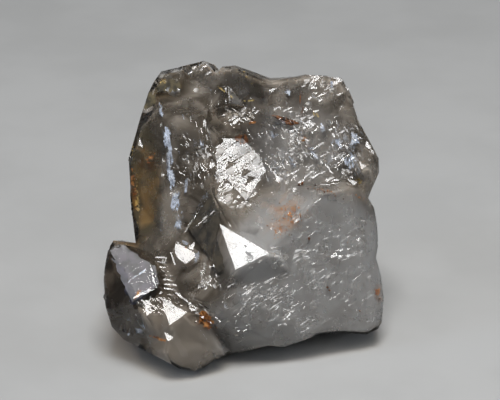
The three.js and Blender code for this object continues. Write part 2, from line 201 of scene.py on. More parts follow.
# ---------------------------------------------------------------------------
# Helpers for node trees and meshes
# ---------------------------------------------------------------------------
class NodeSheet:
    """Adds nodes to one tree and joins them as they are added."""

    def __init__(self, tree: bpy.types.NodeTree) -> None:
        """Keep the tree that the nodes go into."""
        self.tree = tree

    def add(self, kind: str, sockets: dict | None = None, **settings: object) -> bpy.types.Node:
        """Add one node.

        Args:
            kind: The node's type name.
            sockets: Input name or number to the value it takes or the output socket that feeds it.
            settings: The node's own options.

        Returns:
            The new node.
        """
        node = self.tree.nodes.new(kind)
        for name, value in settings.items():
            setattr(node, name, value)
        self.feed(node, sockets or {})
        return node

    def feed(self, node: bpy.types.Node, sockets: dict) -> None:
        """Set or link inputs of a node.

        Args:
            node: The node.
            sockets: Input name or number to the value it takes or the output socket that feeds it.
        """
        for name, value in sockets.items():
            if isinstance(value, Socket):
                self.tree.links.new(value, node.inputs[name])
            else:
                node.inputs[name].default_value = value

    def math(self, what: str, a: object, b: object = 0.0) -> Socket:
        """Work out a Math operation on two values or sockets."""
        return self.add("ShaderNodeMath", {0: a, 1: b}, operation=what).outputs[0]

    def vector(self, what: str, a: object, b: object = (0.0, 0.0, 0.0)) -> Socket:
        """Work out a Vector Math operation: a number for LENGTH and DOT_PRODUCT, else a vector."""
        node = self.add("ShaderNodeVectorMath", {0: a, 1: b}, operation=what)
        return node.outputs["Value" if what in ("LENGTH", "DOT_PRODUCT") else "Vector"]

    def ramp(self, value: object, low: float, high: float, start: float = 0.0, end: float = 1.0) -> Socket:
        """Map a value smoothly from the range low to high onto the range start to end."""
        sockets = {"Value": value, "From Min": low, "From Max": high, "To Min": start, "To Max": end}
        return self.add("ShaderNodeMapRange", sockets, interpolation_type="SMOOTHSTEP").outputs[0]

    def noise(self, place: Socket, scale: float, detail: float, bend: float = 0.0) -> Socket:
        """Make noise of a scale per metre, with a detail and a distortion, about 0 to 1."""
        sockets = {"Vector": place, "Scale": scale, "Detail": detail, "Distortion": bend}
        return self.add("ShaderNodeTexNoise", sockets).outputs[0]

    def cells(self, place: Socket, scale: float, feature: str = "F1") -> bpy.types.Node:
        """Fill space with cells of a scale per metre and return their node."""
        return self.add("ShaderNodeTexVoronoi", {"Vector": place, "Scale": scale}, feature=feature)

    def mix(self, share: Socket, under: Socket | Triple, over: Socket | Triple) -> Socket:
        """Mix a share of one colour over another."""
        tones = [tone if isinstance(tone, Socket) else (*tone, 1.0) for tone in (under, over)]
        return self.add("ShaderNodeMix", {0: share, 6: tones[0], 7: tones[1]}, data_type="RGBA").outputs[2]

    def bump(self, height: Socket) -> Socket:
        """Turn a height of 0 to 1 into the surface's normal."""
        sockets = {"Height": height, "Strength": RELIEF_SHARE, "Distance": RELIEF}
        return self.add("ShaderNodeBump", sockets).outputs[0]

    def blob(self, place: Socket, patch: Patch) -> Socket:
        """Make a soft ellipsoid mask round a patch of the stone.

        Args:
            place: The socket that gives the place, in metres.
            patch: The patch.

        Returns:
            A socket that is the patch's strength in its middle and 0 outside it.
        """
        away = self.vector("SUBTRACT", place, tuple(FACE.place(np.array(patch.spot))))
        parts = [self.vector("DOT_PRODUCT", away, tuple(way)) for way in FACE.turn(np.eye(3))]
        reaches = zip(parts, patch.reach, strict=True)
        scaled = [self.math("DIVIDE", part, reach * MM) for part, reach in reaches]
        joined = self.add("ShaderNodeCombineXYZ", dict(enumerate(scaled))).outputs[0]
        return self.ramp(self.vector("LENGTH", joined), 1.0, patch.core, 0.0, patch.strength)

    def cover(self, place: Socket, patches: tuple[Patch, ...]) -> Socket:
        """Return how strongly the strongest of several patches covers each place."""
        first, *others = [self.blob(place, patch) for patch in patches]
        return reduce(lambda most, mask: self.math("MAXIMUM", most, mask), others, first)

    def attribute(self, name: str) -> Socket:
        """Read a named attribute of the geometry."""
        return self.add("GeometryNodeInputNamedAttribute", {"Name": name}).outputs[0]

    def luck(self, span: Pair, seed: Socket) -> Socket:
        """Draw a random number within a span for each point."""
        return self.add("FunctionNodeRandomValue", {2: span[0], 3: span[1], "Seed": seed}).outputs[1]

    def geometry_of(self, thing: Thing) -> Socket:
        """Bring in another object's geometry."""
        return self.add("GeometryNodeObjectInfo", {"Object": thing}).outputs["Geometry"]


def put_in(name: str, data: bpy.types.ID) -> Thing:
    """Make an object of some data and link it to the scene.

    Args:
        name: The object's name.
        data: Its mesh, lamp or camera.

    Returns:
        The new object.
    """
    made = bpy.data.objects.new(name, data)
    bpy.context.scene.collection.objects.link(made)
    return made


def mesh_object(name: str, points: Iterable = (), faces: Iterable = ()) -> Thing:
    """Make an object from points in metres and faces.

    Args:
        name: The object's name.
        points: The corner points.
        faces: Corner numbers of each face.

    Returns:
        The new object, linked to the scene.
    """
    mesh = bpy.data.meshes.new(name)
    mesh.from_pydata([tuple(point) for point in points], [], list(faces))
    mesh.update()
    return put_in(name, mesh)


@contextmanager
def opened(thing: Thing) -> Iterator[bmesh.types.BMesh]:
    """Open an object's mesh for editing, and write it back at the end.

    Args:
        thing: The object.

    Yields:
        The mesh, open for editing.
    """
    work = bmesh.new()
    work.from_mesh(thing.data)
    yield work
    work.to_mesh(thing.data)
    work.free()


def welded_copy(node: Thing, name: str) -> Thing:
    """Copy a frame node's mesh and merge its loose triangles.

    Args:
        node: The frame node.
        name: The copy's name.

    Returns:
        The copy, as one closed mesh.
    """
    made = mesh_object(name)
    with opened(made) as work:
        work.from_mesh(node.data)
        bmesh.ops.remove_doubles(work, verts=work.verts, dist=1e-7)
    made.data.polygons.foreach_set("use_smooth", [False] * len(made.data.polygons))
    return made


def split_long_edges(made: Thing, longest: Callable[[np.ndarray], np.ndarray], rounds: int = 8) -> None:
    """Cut every edge over a length in two, several times over, and triangulate.

    Args:
        made: The object whose mesh is cut.
        longest: Gives the longest edge that stays at each of an array of places, in metres.
        rounds: The most times it cuts.
    """
    with opened(made) as work:
        for _ in range(rounds):
            edges = list(work.edges)
            ends = np.array([(*e.verts[0].co, *e.verts[1].co) for e in edges])
            starts, stops = ends[:, :3], ends[:, 3:]
            over = np.linalg.norm(starts - stops, axis=1) > longest((starts + stops) / 2)
            if not over.any():
                break
            bmesh.ops.subdivide_edges(work, edges=[edges[i] for i in np.flatnonzero(over)], cuts=1)
            bmesh.ops.triangulate(work, faces=[f for f in work.faces if len(f.verts) > 3])


def merge_flats(made: Thing, bend: float) -> None:
    """Merge the pieces of each flat face and triangulate it evenly.

    Args:
        made: The object.
        bend: The most that neighbours of one face may lean apart, in radians.
    """
    with opened(made) as work:
        bmesh.ops.dissolve_limit(work, angle_limit=bend, verts=work.verts, edges=work.edges)
        bmesh.ops.triangulate(work, faces=work.faces)


def thin_out(made: Thing, most: int) -> None:
    """Collapse an object's least needed edges until it has no more than a number of triangles.

    Args:
        made: The object.
        most: The most triangles that stay.
    """
    count = sum(len(polygon.vertices) - 2 for polygon in made.data.polygons)
    made.modifiers.new("thin", "DECIMATE").ratio = min(1.0, most / count)
    settle(made)


def settle(made: Thing) -> None:
    """Turn an object's modifiers into its plain mesh and remove them.

    Args:
        made: The object.
    """
    graph = bpy.context.evaluated_depsgraph_get()
    plain = bpy.data.meshes.new_from_object(made.evaluated_get(graph))
    plain.name = made.name
    made.modifiers.clear()
    made.data = plain


def drop(*made: Thing) -> None:
    """Remove helper objects and their meshes from the file.

    Args:
        made: The objects.
    """
    for thing in made:
        mesh = thing.data
        bpy.data.objects.remove(thing)
        bpy.data.meshes.remove(mesh)


def rows_of(items: bpy.types.bpy_prop_collection, name: str) -> np.ndarray:
    """Read a vector that each vertex or polygon of a mesh has.

    Args:
        items: The mesh's vertices or polygons.
        name: The vector's name.

    Returns:
        The vectors, one row each.
    """
    values = np.empty(len(items) * 3)
    items.foreach_get(name, values)
    return values.reshape(-1, 3)


def move_vertices(mesh: bpy.types.Mesh, points: np.ndarray) -> None:
    """Put a mesh's vertices at new points."""
    mesh.vertices.foreach_set("co", points.ravel())
    mesh.update()


def tree_of(node: Thing) -> BVHTree:
    """Return a tree of an object's faces that rays can be cast at."""
    faces = [tuple(face.vertices) for face in node.data.polygons]
    return BVHTree.FromPolygons([corner.co for corner in node.data.vertices], faces)


def turned(x: float, y: float, angle: float) -> Pair:
    """Turn a place about the origin by an angle in radians."""
    sine, cosine = math.sin(angle), math.cos(angle)
    return x * cosine - y * sine, x * sine + y * cosine


def fade(values: np.ndarray, start: float, width: float, least: float = 0.0) -> np.ndarray:
    """Rise from a least share to 1, over a width that begins at start."""
    return np.clip((values - start) / width, least, 1)


def run_tree(thing: Thing, tree: bpy.types.NodeTree, **values: object) -> None:
    """Run a Geometry Nodes tree on an object and keep the result as its plain mesh.

    Args:
        thing: The object.
        tree: The tree.
        values: The values of the tree's inputs, by name, set by each socket's identifier.
    """
    modifier = thing.modifiers.new(tree.name, "NODES")
    modifier.node_group = tree
    for item in tree.interface.items_tree:
        if item.in_out == "INPUT" and item.name in values:
            modifier[item.identifier] = values.pop(item.name)
    if values:
        raise KeyError(*values)
    settle(thing)


def new_tree(name: str, **kinds: str) -> tuple[NodeSheet, bpy.types.Node, bpy.types.Node]:
    """Start a Geometry Nodes tree with a geometry input and output and named inputs.

    Args:
        name: The tree's name.
        kinds: Each further input's name and socket type.

    Returns:
        The sheet to add nodes with, the group's input node and its output node.
    """
    tree = bpy.data.node_groups.new(name, "GeometryNodeTree")
    for label, kind in {"Geometry": "Geometry", **kinds}.items():
        tree.interface.new_socket(label, in_out="INPUT", socket_type=f"NodeSocket{kind}")
    tree.interface.new_socket("Geometry", in_out="OUTPUT", socket_type="NodeSocketGeometry")
    sheet = NodeSheet(tree)
    return sheet, sheet.add("NodeGroupInput"), sheet.add("NodeGroupOutput")


def finish_tree(sheet: NodeSheet, out: bpy.types.Node, geometry: Socket, material: Material) -> None:
    """End a Geometry Nodes tree in Realize Instances and Set Material.

    Args:
        sheet: The tree's sheet.
        out: The group's output node.
        geometry: The socket of what was made.
        material: The material it takes.
    """
    real = sheet.add("GeometryNodeRealizeInstances", {"Geometry": geometry}).outputs[0]
    dressed = sheet.add("GeometryNodeSetMaterial", {"Geometry": real, "Material": material})
    sheet.feed(out, {0: dressed.outputs[0]})


# ---------------------------------------------------------------------------
# Finishes
# ---------------------------------------------------------------------------
def new_material(name: str) -> tuple[Material, NodeSheet, Socket, bpy.types.Node, bpy.types.Node]:
    """Start a material with one Principled shader.

    Args:
        name: The material's name.

    Returns:
        The material, its sheet, the place on the piece in metres, its shader and its output node.
    """
    material = bpy.data.materials.new(name)
    material.use_nodes = True
    material.node_tree.nodes.clear()
    sheet = NodeSheet(material.node_tree)
    shader = sheet.add("ShaderNodeBsdfPrincipled")
    out = sheet.add("ShaderNodeOutputMaterial", {"Surface": shader.outputs[0]})
    return material, sheet, sheet.add("ShaderNodeTexCoord").outputs["Object"], shader, out


@dataclass(frozen=True)
class Stain:
    """A patch of iron oxide on the skin."""

    patch: Patch
    colour: Triple
    grain: float = 900.0


IRON_ORANGE = (0.72, 0.30, 0.08)
IRON_YELLOW = (0.70, 0.58, 0.30)
IRON_PEACH = (0.80, 0.60, 0.48)
IRON_OLIVE = (0.30, 0.25, 0.10)


@dataclass(frozen=True)
class ClearQuartz:
    """The skin and body of the stone: clear smoky quartz with etched, pitted and stained places."""

    ior: float = 1.544
    smoke: Triple = (0.60, 0.51, 0.41)
    smoke_density: float = 120.0
    tint: Triple = (0.97, 0.965, 0.955)
    polish: float = 0.05
    frost: float = 0.28
    stain_edge: Pair = (0.42, 0.62)
    clumps: float = 260.0
    clump_edge: Pair = (0.40, 0.62)
    flecks: float = 2600.0
    fleck_edge: Pair = (0.25, 0.65)
    least_fleck: float = 0.3
    etch_cells: float = 700.0
    etch_edge: Pair = (0.9, 1.3)
    waves: float = 160.0
    wave_bend: float = 0.0008
    wave_share: float = 0.25
    growth_lines: float = 2400.0
    line_share: float = 0.30
    pits: float = 1500.0
    pit_edge: Pair = (0.0, 0.12)
    pit_share: float = 0.12
    bright: tuple[Patch, ...] = (
        Patch((-2.2, 24.0, 13.0), (7.5, 7.5, 6.0), 0.6, 0.85),
        Patch((-12.0, 23.4, 8.0), (4.0, 4.0, 6.0), 1.0, 0.8),
        Patch((-17.2, 12.4, 13.5), (5.0, 4.0, 5.0), 0.8, 0.6),
        Patch((-21.4, 19.0, 11.5), (7.0, 7.5, 5.0), 1.0, 0.85),
        Patch((-12.6, 6.0, 14.5), (7.0, 6.0, 5.0), 0.7, 0.7),
    )
    shadow_light: Triple = (0.80, 0.78, 0.75)
    stains: tuple[Stain, ...] = (
        Stain(Patch((-7.5, 9.6, 12), (2.6, 2.2, 6)), IRON_ORANGE),
        Stain(Patch((-19.6, 40.6, -3), (2.6, 2.6, 14), 0.9), IRON_ORANGE, 420.0),
        Stain(Patch((-22.8, 32.5, -4), (1.8, 7.0, 14), 0.85), IRON_ORANGE, 420.0),
        Stain(Patch((-15.8, 55.8, -3), (5.2, 3.6, 12), 0.9), IRON_OLIVE, 260.0),
        Stain(Patch((-22.5, 36.0, -4), (2.4, 12, 10), 0.8), IRON_YELLOW),
        Stain(Patch((26.8, 14.6, 2), (1.6, 2.2, 5)), IRON_ORANGE),
        Stain(Patch((7.5, 30.0, 10), (4.5, 5.0, 6), 0.45), IRON_PEACH),
        Stain(Patch((-17.0, 6.2, 8), (5.0, 1.6, 6), 0.7), IRON_ORANGE),
        Stain(Patch((-18.0, 55.0, -6), (5.0, 3.0, 8), 0.35), IRON_YELLOW),
        Stain(Patch((24.0, 36.0, 2), (4.0, 2.0, 6), 0.5), IRON_YELLOW),
        Stain(Patch((4.5, 58.0, -5), (3.5, 1.4, 4), 0.9), IRON_ORANGE),
    )

    def make(self) -> Material:
        """Build the material.

        Returns:
            The clear quartz material, with plain transmission, IOR and absorption.
        """
        material, sheet, place, shader, out = new_material("clear_smoky_quartz")
        shader.inputs["IOR"].default_value = self.ior
        shader.inputs["Transmission Weight"].default_value = 1.0
        varied = {
            "Base Color": self._colour(sheet, place),
            "Roughness": self._roughness(sheet, place),
            "Normal": self._relief(sheet, place),
        }
        sheet.feed(shader, varied)
        body = {"Color": (*self.smoke, 1.0), "Density": self.smoke_density}
        smoke = sheet.add("ShaderNodeVolumeAbsorption", body)
        lamp = sheet.add("ShaderNodeLightPath").outputs["Is Shadow Ray"]
        through = sheet.add("ShaderNodeBsdfTransparent", {"Color": (*self.shadow_light, 1.0)})
        mixed = sheet.add("ShaderNodeMixShader", {0: lamp, 1: shader.outputs[0], 2: through.outputs[0]})
        sheet.feed(out, {"Surface": mixed.outputs[0], "Volume": smoke.outputs[0]})
        return material

    def _colour(self, sheet: NodeSheet, place: Socket) -> Socket:
        """Mix the iron stains over the clear tint.

        Args:
            sheet: The material's sheet.
            place: The position socket.

        Returns:
            The colour's socket.
        """
        colour = self.tint
        for stain in self.stains:
            grain = sheet.ramp(sheet.noise(place, stain.grain, 5.0), *self.stain_edge)
            share = sheet.math("MULTIPLY", sheet.blob(place, stain.patch), grain)
            colour = sheet.mix(share, colour, stain.colour)
        return colour

    def _roughness(self, sheet: NodeSheet, place: Socket) -> Socket:
        """Vary the polish: glassy faces with frosted, etched flecks between them.

        Args:
            sheet: The material's sheet.
            place: The position socket.

        Returns:
            The roughness socket.
        """
        clumps = sheet.ramp(sheet.noise(place, self.clumps, 4.0), *self.clump_edge)
        flecks = sheet.ramp(sheet.noise(place, self.flecks, 3.0), *self.fleck_edge, self.least_fleck)
        cells = sheet.vector("LENGTH", sheet.cells(place, self.etch_cells).outputs["Color"])
        cells = sheet.ramp(cells, *self.etch_edge)
        etched = sheet.math("MAXIMUM", sheet.math("MULTIPLY", clumps, flecks), cells)
        glassy = sheet.cover(place, self.bright)
        frosted = sheet.math("MULTIPLY", etched, sheet.math("SUBTRACT", 1.0, glassy))
        return sheet.ramp(frosted, 0.0, 1.0, self.polish, self.frost)

    def _relief(self, sheet: NodeSheet, place: Socket) -> Socket:
        """Raise fine growth lines across the axis, etch pits and slow waves.

        Args:
            sheet: The material's sheet.
            place: The position socket.

        Returns:
            The normal's socket.
        """
        along = sheet.vector("DOT_PRODUCT", place, tuple(LATTICE.axis()))
        waves = sheet.noise(place, self.waves, 2.0)
        bent = sheet.math("ADD", along, sheet.math("MULTIPLY", waves, self.wave_bend))
        steps = {"W": bent, "Scale": self.growth_lines, "Detail": 3.0}
        lines = sheet.add("ShaderNodeTexNoise", steps, noise_dimensions="1D").outputs[0]
        pits = sheet.cells(place, self.pits, "DISTANCE_TO_EDGE").outputs[0]
        pits = sheet.ramp(pits, *self.pit_edge)
        shares = ((lines, self.line_share), (waves, self.wave_share), (pits, self.pit_share))
        parts = [sheet.math("MULTIPLY", height, share) for height, share in shares]
        return sheet.bump(sheet.math("ADD", sheet.math("ADD", parts[0], parts[1]), parts[2]))


@dataclass(frozen=True)
class MilkyQuartz:
    """The cloudy inside: milky in the slab, smoky and streaked behind the clear crystals."""

    milk: Triple = (0.375, 0.375, 0.375)
    grey: Triple = (0.32, 0.315, 0.31)
    smoke: Triple = (0.085, 0.072, 0.056)
    dusk: Triple = (0.26, 0.235, 0.205)
    peach: Triple = (0.45, 0.33, 0.25)
    olive: Triple = (0.095, 0.080, 0.050)
    ochre: Triple = (0.23, 0.145, 0.052)
    depth: float = 0.0025
    reddening: Triple = (1.0, 0.92, 0.85)
    roughness: float = 0.6
    ior: float = 1.1
    clouds: float = 170.0
    cloud_edge: Pair = (0.38, 0.62)
    cloud_bend: float = 0.8
    flecks: float = 500.0
    fleck_edge: Pair = (0.45, 0.62)
    milky: tuple[Patch, ...] = (
        Patch((13.0, 18.0, 6.0), (20.0, 19.5, 26.0), 1.0, 0.75),
        Patch((-2.0, 8.0, 8.0), (9.0, 8.0, 16.0), 0.9, 0.5),
        Patch((11.0, 43.0, 2.0), (13.0, 12.0, 14.0), 0.7, 0.4),
        Patch((13.0, 53.0, 2.0), (9.0, 6.0, 10.0), 0.15, 0.4),
        Patch((2.0, 28.0, -28.0), (32.0, 36.0, 18.0), 0.75, 0.5),
    )
    # painted shade: darkens the milky colour on the dark shoulder's shadowed left face and in the shadow
    # under the big facet
    shade: tuple[Patch, ...] = (
        Patch((-8.5, 29.0, 8.0), (7.0, 8.5, 10.0), 0.95, 0.6),
        Patch((-4.0, 17.5, 12.0), (6.5, 4.0, 7.0), 0.7, 0.3),
    )
    deep: tuple[Patch, ...] = (
        Patch((-8.0, 27.6, 8.0), (4.2, 6.2, 10.0), 0.95, 0.8),
        Patch((0.5, 57.2, -3.0), (6.5, 3.6, 9.0), 0.85, 0.5),
        Patch((-10.5, 44.5, 1.0), (5.0, 5.5, 10.0), 0.8, 0.4),
        Patch((-21.0, 6.0, 8.0), (5.5, 5.0, 10.0), 0.85, 0.5),
        Patch((-27.0, 15.0, 5.0), (4.5, 12.0, 10.0), 1.0, 0.6),
        Patch((-15.0, 55.6, -4.0), (5.0, 4.4, 10.0), 0.9, 0.5),
    )
    # lighter patches; the two beside the dark shoulder are painted light, on the bluish streaks left of it
    # and on its lit right face
    pale: tuple[Patch, ...] = (
        Patch((-12.0, 5.5, 11.0), (9.0, 7.0, 12.0), 1.0, 0.5),
        Patch((-14.6, 30.0, 2.0), (3.0, 8.0, 9.0), 1.0, 0.4),
        Patch((-1.6, 30.6, 7.0), (4.0, 3.2, 7.0), 0.8, 0.4),
        Patch((24.2, 34.8, 0.0), (3.6, 3.6, 10.0), 0.9, 0.5),
    )
    haze: Patch = Patch((7.5, 30.0, 9.0), (6.5, 6.5, 9.0), 0.7, 0.2)
    rust: tuple[Patch, ...] = (
        Patch((-22.5, 36.0, -2.0), (7.5, 16.0, 12.0), 0.9, 0.7),
        Patch((-17.5, 55.5, -5.0), (6.5, 4.5, 8.0), 0.35, 0.4),
    )

    def make(self) -> Material:
        """Build the material.

        Returns:
            The milky quartz material.
        """
        material, sheet, place, shader, _ = new_material("milky_quartz")
        shader.inputs["Roughness"].default_value = self.roughness
        shader.inputs["IOR"].default_value = self.ior
        shader.inputs["Subsurface Weight"].default_value = 1.0
        shader.inputs["Subsurface Scale"].default_value = self.depth
        shader.inputs["Subsurface Radius"].default_value = self.reddening
        share = sheet.ramp(sheet.noise(place, self.clouds, 7.0, self.cloud_bend), *self.cloud_edge)
        milk = sheet.mix(share, self.grey, self.milk)
        dark = sheet.mix(share, self.smoke, self.dusk)
        # painted shade: the milk is taken out where the shade patches lie
        lit = sheet.math("SUBTRACT", 1.0, sheet.cover(place, self.shade))
        base = sheet.mix(sheet.math("MULTIPLY", sheet.cover(place, self.milky), lit), dark, milk)
        base = sheet.mix(sheet.cover(place, self.deep), base, self.smoke)
        # lighter dusk where the pale patches lie, partly painted light beside the dark shoulder
        base = sheet.mix(sheet.cover(place, self.pale), base, self.dusk)
        flecks = sheet.ramp(sheet.noise(place, self.flecks, 5.0), *self.fleck_edge)
        base = sheet.mix(sheet.math("MULTIPLY", sheet.blob(place, self.haze), flecks), base, self.peach)
        rust = sheet.mix(share, self.olive, self.ochre)
        sheet.feed(shader, {"Base Color": sheet.mix(sheet.cover(place, self.rust), base, rust)})
        return material


@dataclass(frozen=True)
class PlainMineral:
    """A finish for the small sealed-in things: one colour with grain."""

    name: str
    dark: Triple
    light: Triple
    roughness: float
    grain: float = 1500.0
    edge: Pair = (0.35, 0.65)

    def make(self) -> Material:
        """Build the material.

        Returns:
            The mineral's material.
        """
        material, sheet, place, shader, _ = new_material(self.name)
        shader.inputs["Roughness"].default_value = self.roughness
        grain = sheet.noise(place, self.grain, 4.0)
        colour = sheet.mix(sheet.ramp(grain, *self.edge), self.dark, self.light)
        sheet.feed(shader, {"Base Color": colour, "Normal": sheet.bump(grain)})
        return material


# ---------------------------------------------------------------------------
# The clear body with its growth steps
# ---------------------------------------------------------------------------
@dataclass(frozen=True)
class GrowthPatch(Ellipse):
    """A place on the front where small parallel crystals crowd; wide is their share of wide ledges."""

    crowd: float
    size: float
    rise: float
    wide: float


@dataclass(frozen=True)
class GrowthMap:
    """Where the small crystals stand, how big they are and how far they rise."""

    patches: tuple[GrowthPatch, ...] = (
        GrowthPatch((-1.4, 41.0), (4.8, 4.4), 0.1, 0.7, 0.08, 0.8),
        GrowthPatch((-0.2, 34.6), (5.2, 4.6), 0.3, 0.4, 0.06, 0.8),
        GrowthPatch((9.0, 44.0), (8.0, 7.5), 1.6, 0.5, 0.14, 0.3),
        GrowthPatch((18.5, 43.0), (4.5, 7.5), 1.3, 0.6, 0.14, 0.0),
        GrowthPatch((14.5, 56.0), (3.0, 2.4), 2.0, 0.36, 0.12, 0.0),
        GrowthPatch((-10.0, 38.0), (5.0, 9.0), 1.0, 0.6, 0.12, 0.0),
        GrowthPatch((-14.5, 18.0), (3.0, 4.5), 0.6, 0.42, 0.12, 0.5),
        GrowthPatch((-7.0, 18.5), (2.4, 3.8), 1.2, 0.32, 0.12, 0.5),
        GrowthPatch((-17.2, 12.4), (4.0, 2.0), 1.0, 0.4, 0.1, 0.15),
        GrowthPatch((12.0, 18.0), (17.0, 14.0), 0.25, 0.36, 0.06, 1.0),
        GrowthPatch((-1.0, 9.0), (4.0, 4.0), 0.6, 0.4, 0.08, 0.5),
        GrowthPatch((-4.0, 53.0), (6.5, 3.5), 0.5, 0.4, 0.1, 0.4),
    )
    clean: tuple[Ellipse, ...] = (
        Ellipse((-2.2, 24.0), (6.6, 6.4)),
        Ellipse((-12.2, 23.2), (3.4, 3.6)),
        Ellipse((-21.8, 18.8), (5.4, 7.6)),
        Ellipse((-25.0, 22.5), (3.5, 4.5)),
        Ellipse((-23.0, 9.0), (4.5, 4.5)),
        Ellipse((-10.5, 51.0), (5.5, 4.5)),
        Ellipse((-8.5, 30.0), (6.0, 7.0)),
        Ellipse((-0.9, 45.1), (1.7, 1.3)),
        Ellipse((8.0, 49.0), (3.4, 1.3)),
        Ellipse((-13.6, 6.0), (6.6, 5.2)),
        Ellipse((23.0, 49.0), (4.4, 7.6)),
        Ellipse((-8.8, 59.6), (4.6, 3.0)),
        Ellipse((-17.5, 56.0), (4.5, 3.0)),
        Ellipse((18.0, 9.0), (5.5, 5.5)),
    )
    front_crowd: float = 0.02
    front_size: float = 0.7
    back_crowd: float = 0.3
    back_size: float = 1.1
    far_rise: float = 0.24
    clean_floor: float = -7.0
    base_clear: float = 0.004
    clumps: float = 260.0
    clump_mean: float = 0.9
    clump_swing: float = 1.6
    clump_range: Pair = (0.1, 2.0)
    underside: float = -0.12
    front_edge: Pair = (0.05, 0.25)
    back_edge: Pair = (0.2, 0.3)
    clean_edge: Pair = (0.95, 0.2)
    patch_edge: Pair = (1.15, 0.35)

    def measure(self, points: np.ndarray, normals: np.ndarray) -> dict[str, np.ndarray]:
        """Work out how the small crystals grow at points of the skin.

        Args:
            points: Points of the skin, in metres.
            normals: The skin's directions there.

        Returns:
            Crystals per square millimetre, their radius and rise in metres, and the share of wide ledges.
        """
        spot, out = FACE.back(points), FACE.unturn(normals)[:, 2]
        crowd = np.full(len(points), self.front_crowd)
        size = np.where(out > 0.2, self.front_size, self.back_size)
        rise = np.full(len(points), self.far_rise)
        wide = np.zeros(len(points))
        for patch in self.patches:
            here = patch.crowd * patch.inside(spot, *self.patch_edge)
            wins = here > crowd
            crowd[wins], size[wins], rise[wins], wide[wins] = here[wins], patch.size, patch.rise, patch.wide
        front = fade(out, *self.front_edge)
        crowd = front * crowd + (1 - front) * self.back_crowd * fade(-out, *self.back_edge)
        for ellipse in self.clean:
            outside = fade(ellipse.far(spot), *self.clean_edge)
            crowd *= np.where(spot[:, 2] > self.clean_floor, outside, 1)
        clumps = np.array([noise.noise(Vector(point) * self.clumps) for point in points])
        crowd *= np.clip(self.clump_mean + self.clump_swing * clumps, *self.clump_range)
        crowd[(normals @ LATTICE.axis() < self.underside) | (points[:, 2] < self.base_clear)] = 0
        return {"crowd": crowd, "size": size * MM, "rise": rise * MM, "wide": wide}


@dataclass(frozen=True)
class SeedCrystals:
    """The shapes of small crystal that grow on the big ones, all turned as the lattice is."""

    kinds: int = 8
    ledges: int = 5
    seed: int = 31
    length: float = 5.0
    taper: Pair = (3.0, 9.0)
    front: Pair = (0.8, 1.1)
    side: Pair = (1.0, 2.6)
    ledge_side: Pair = (2.6, 6.0)
    shoulder: Pair = (0.2, 1.3)

    def shapes(self) -> list[tuple[Thing, np.ndarray]]:
        """Build the shapes, about one millimetre in radius, with the top at the origin.

        Returns:
            Each shape's helper object and its corners, in millimetres.
        """
        made = []
        draw = random.Random(self.seed)
        for kind in range(self.kinds + self.ledges):
            reach = self.side if kind < self.kinds else self.ledge_side
            taper = math.radians(draw.uniform(*self.taper))
            planes = [(-LATTICE.axis(), self.length)]
            for k in range(6):
                side = LATTICE.prism(k) * math.cos(taper) - LATTICE.axis() * math.sin(taper)
                planes.append((side, draw.uniform(*(self.front if k in (0, 3) else reach))))
                planes.append((LATTICE.pyramid(k), draw.uniform(*self.shoulder) if k else 0.0))
            corners = self._corners(planes)
            shape = mesh_object(f"seed_crystal_{kind}", corners * MM)
            with opened(shape) as work:
                hull = bmesh.ops.convex_hull(work, input=work.verts)
                unused = {*hull["geom_unused"], *hull["geom_interior"]}
                loose = [part for part in unused if isinstance(part, bmesh.types.BMVert)]
                bmesh.ops.delete(work, geom=loose, context="VERTS")
                bmesh.ops.recalc_face_normals(work, faces=work.faces)
            made.append((shape, corners))
        return made

    @staticmethod
    def _corners(planes: list[tuple[np.ndarray, float]]) -> np.ndarray:
        """Find the corners of the solid behind some planes.

        Args:
            planes: Each plane's direction and distance from the origin.

        Returns:
            The corners.
        """
        ways = np.array([way for way, _ in planes])
        gaps = np.array([gap for _, gap in planes])
        found = []
        for three in combinations(range(len(planes)), 3):
            rows = ways[list(three)]
            if abs(np.linalg.det(rows)) < TINY:
                continue
            corner = np.linalg.solve(rows, gaps[list(three)])
            near = any(np.linalg.norm(corner - other) < ONE_CORNER for other in found)
            if not near and np.all(ways @ corner < gaps + TINY):
                found.append(corner)
        return np.array(found)


class Probe:
    """Finds the front skin of the stone under a spot of the leaning face."""

    def __init__(self, node: Thing) -> None:
        """Read the frame node's mesh."""
        self.tree = tree_of(node)
        self.inward = Vector(-FACE.out())

    def under(self, x: float, y: float, depth: float) -> Vector | None:
        """Find the point at a depth under the front skin.

        Args:
            x: Place across the face, in millimetres.
            y: Place up the face, in millimetres.
            depth: How deep under the skin, in millimetres, straight in from the front.

        Returns:
            The point in the row frame, or None beside the stone.
        """
        start = Vector(FACE.place(np.array([x, y, CLEAR_OF_SKIN])))
        hit = self.tree.ray_cast(start, self.inward)[0]
        return None if hit is None else hit + self.inward * (depth * MM)

    def height(self, x: float, y: float) -> float | None:
        """Return the skin's height out of the face, in millimetres, or None beside the stone."""
        hit = self.under(x, y, 0.0)
        return None if hit is None else float(FACE.back(np.array(hit)[None])[0, 2])


class Facing(Enum):
    """Which way a small facet looks, in the face frame."""

    PYRAMID = tuple(FACE.unturn(LATTICE.pyramid(0)))
    LEFT = (-0.5, 0.147, 0.853)
    RIGHT = (0.566, 0.126, 0.817)


@dataclass(frozen=True)
class Facets:
    """Small flat facets in a row or a patch, in the face frame, in millimetres and degrees."""

    start: Pair
    end: Pair
    count: int
    length: float
    width: float
    turn: float
    scatter: Pair = (0.0, 0.0)
    facing: Facing = Facing.PYRAMID
    wander: float = 0.07


def one_facet(
    spot: Pair, size: Pair, turn: float, facing: Facing = Facing.PYRAMID, wander: float = 0.0
) -> Facets:
    """Set a single facet of one length and width."""
    return Facets(spot, spot, 1, *size, turn, facing=facing, wander=wander)


def patch_of_facets(
    spot: Pair, reach: Pair, count: int, size: Pair, turn: float, facing: Facing = Facing.PYRAMID
) -> Facets:
    """Scatter a number of facets of about one length and width over a patch."""
    return Facets(spot, spot, count, *size, turn, reach, facing)


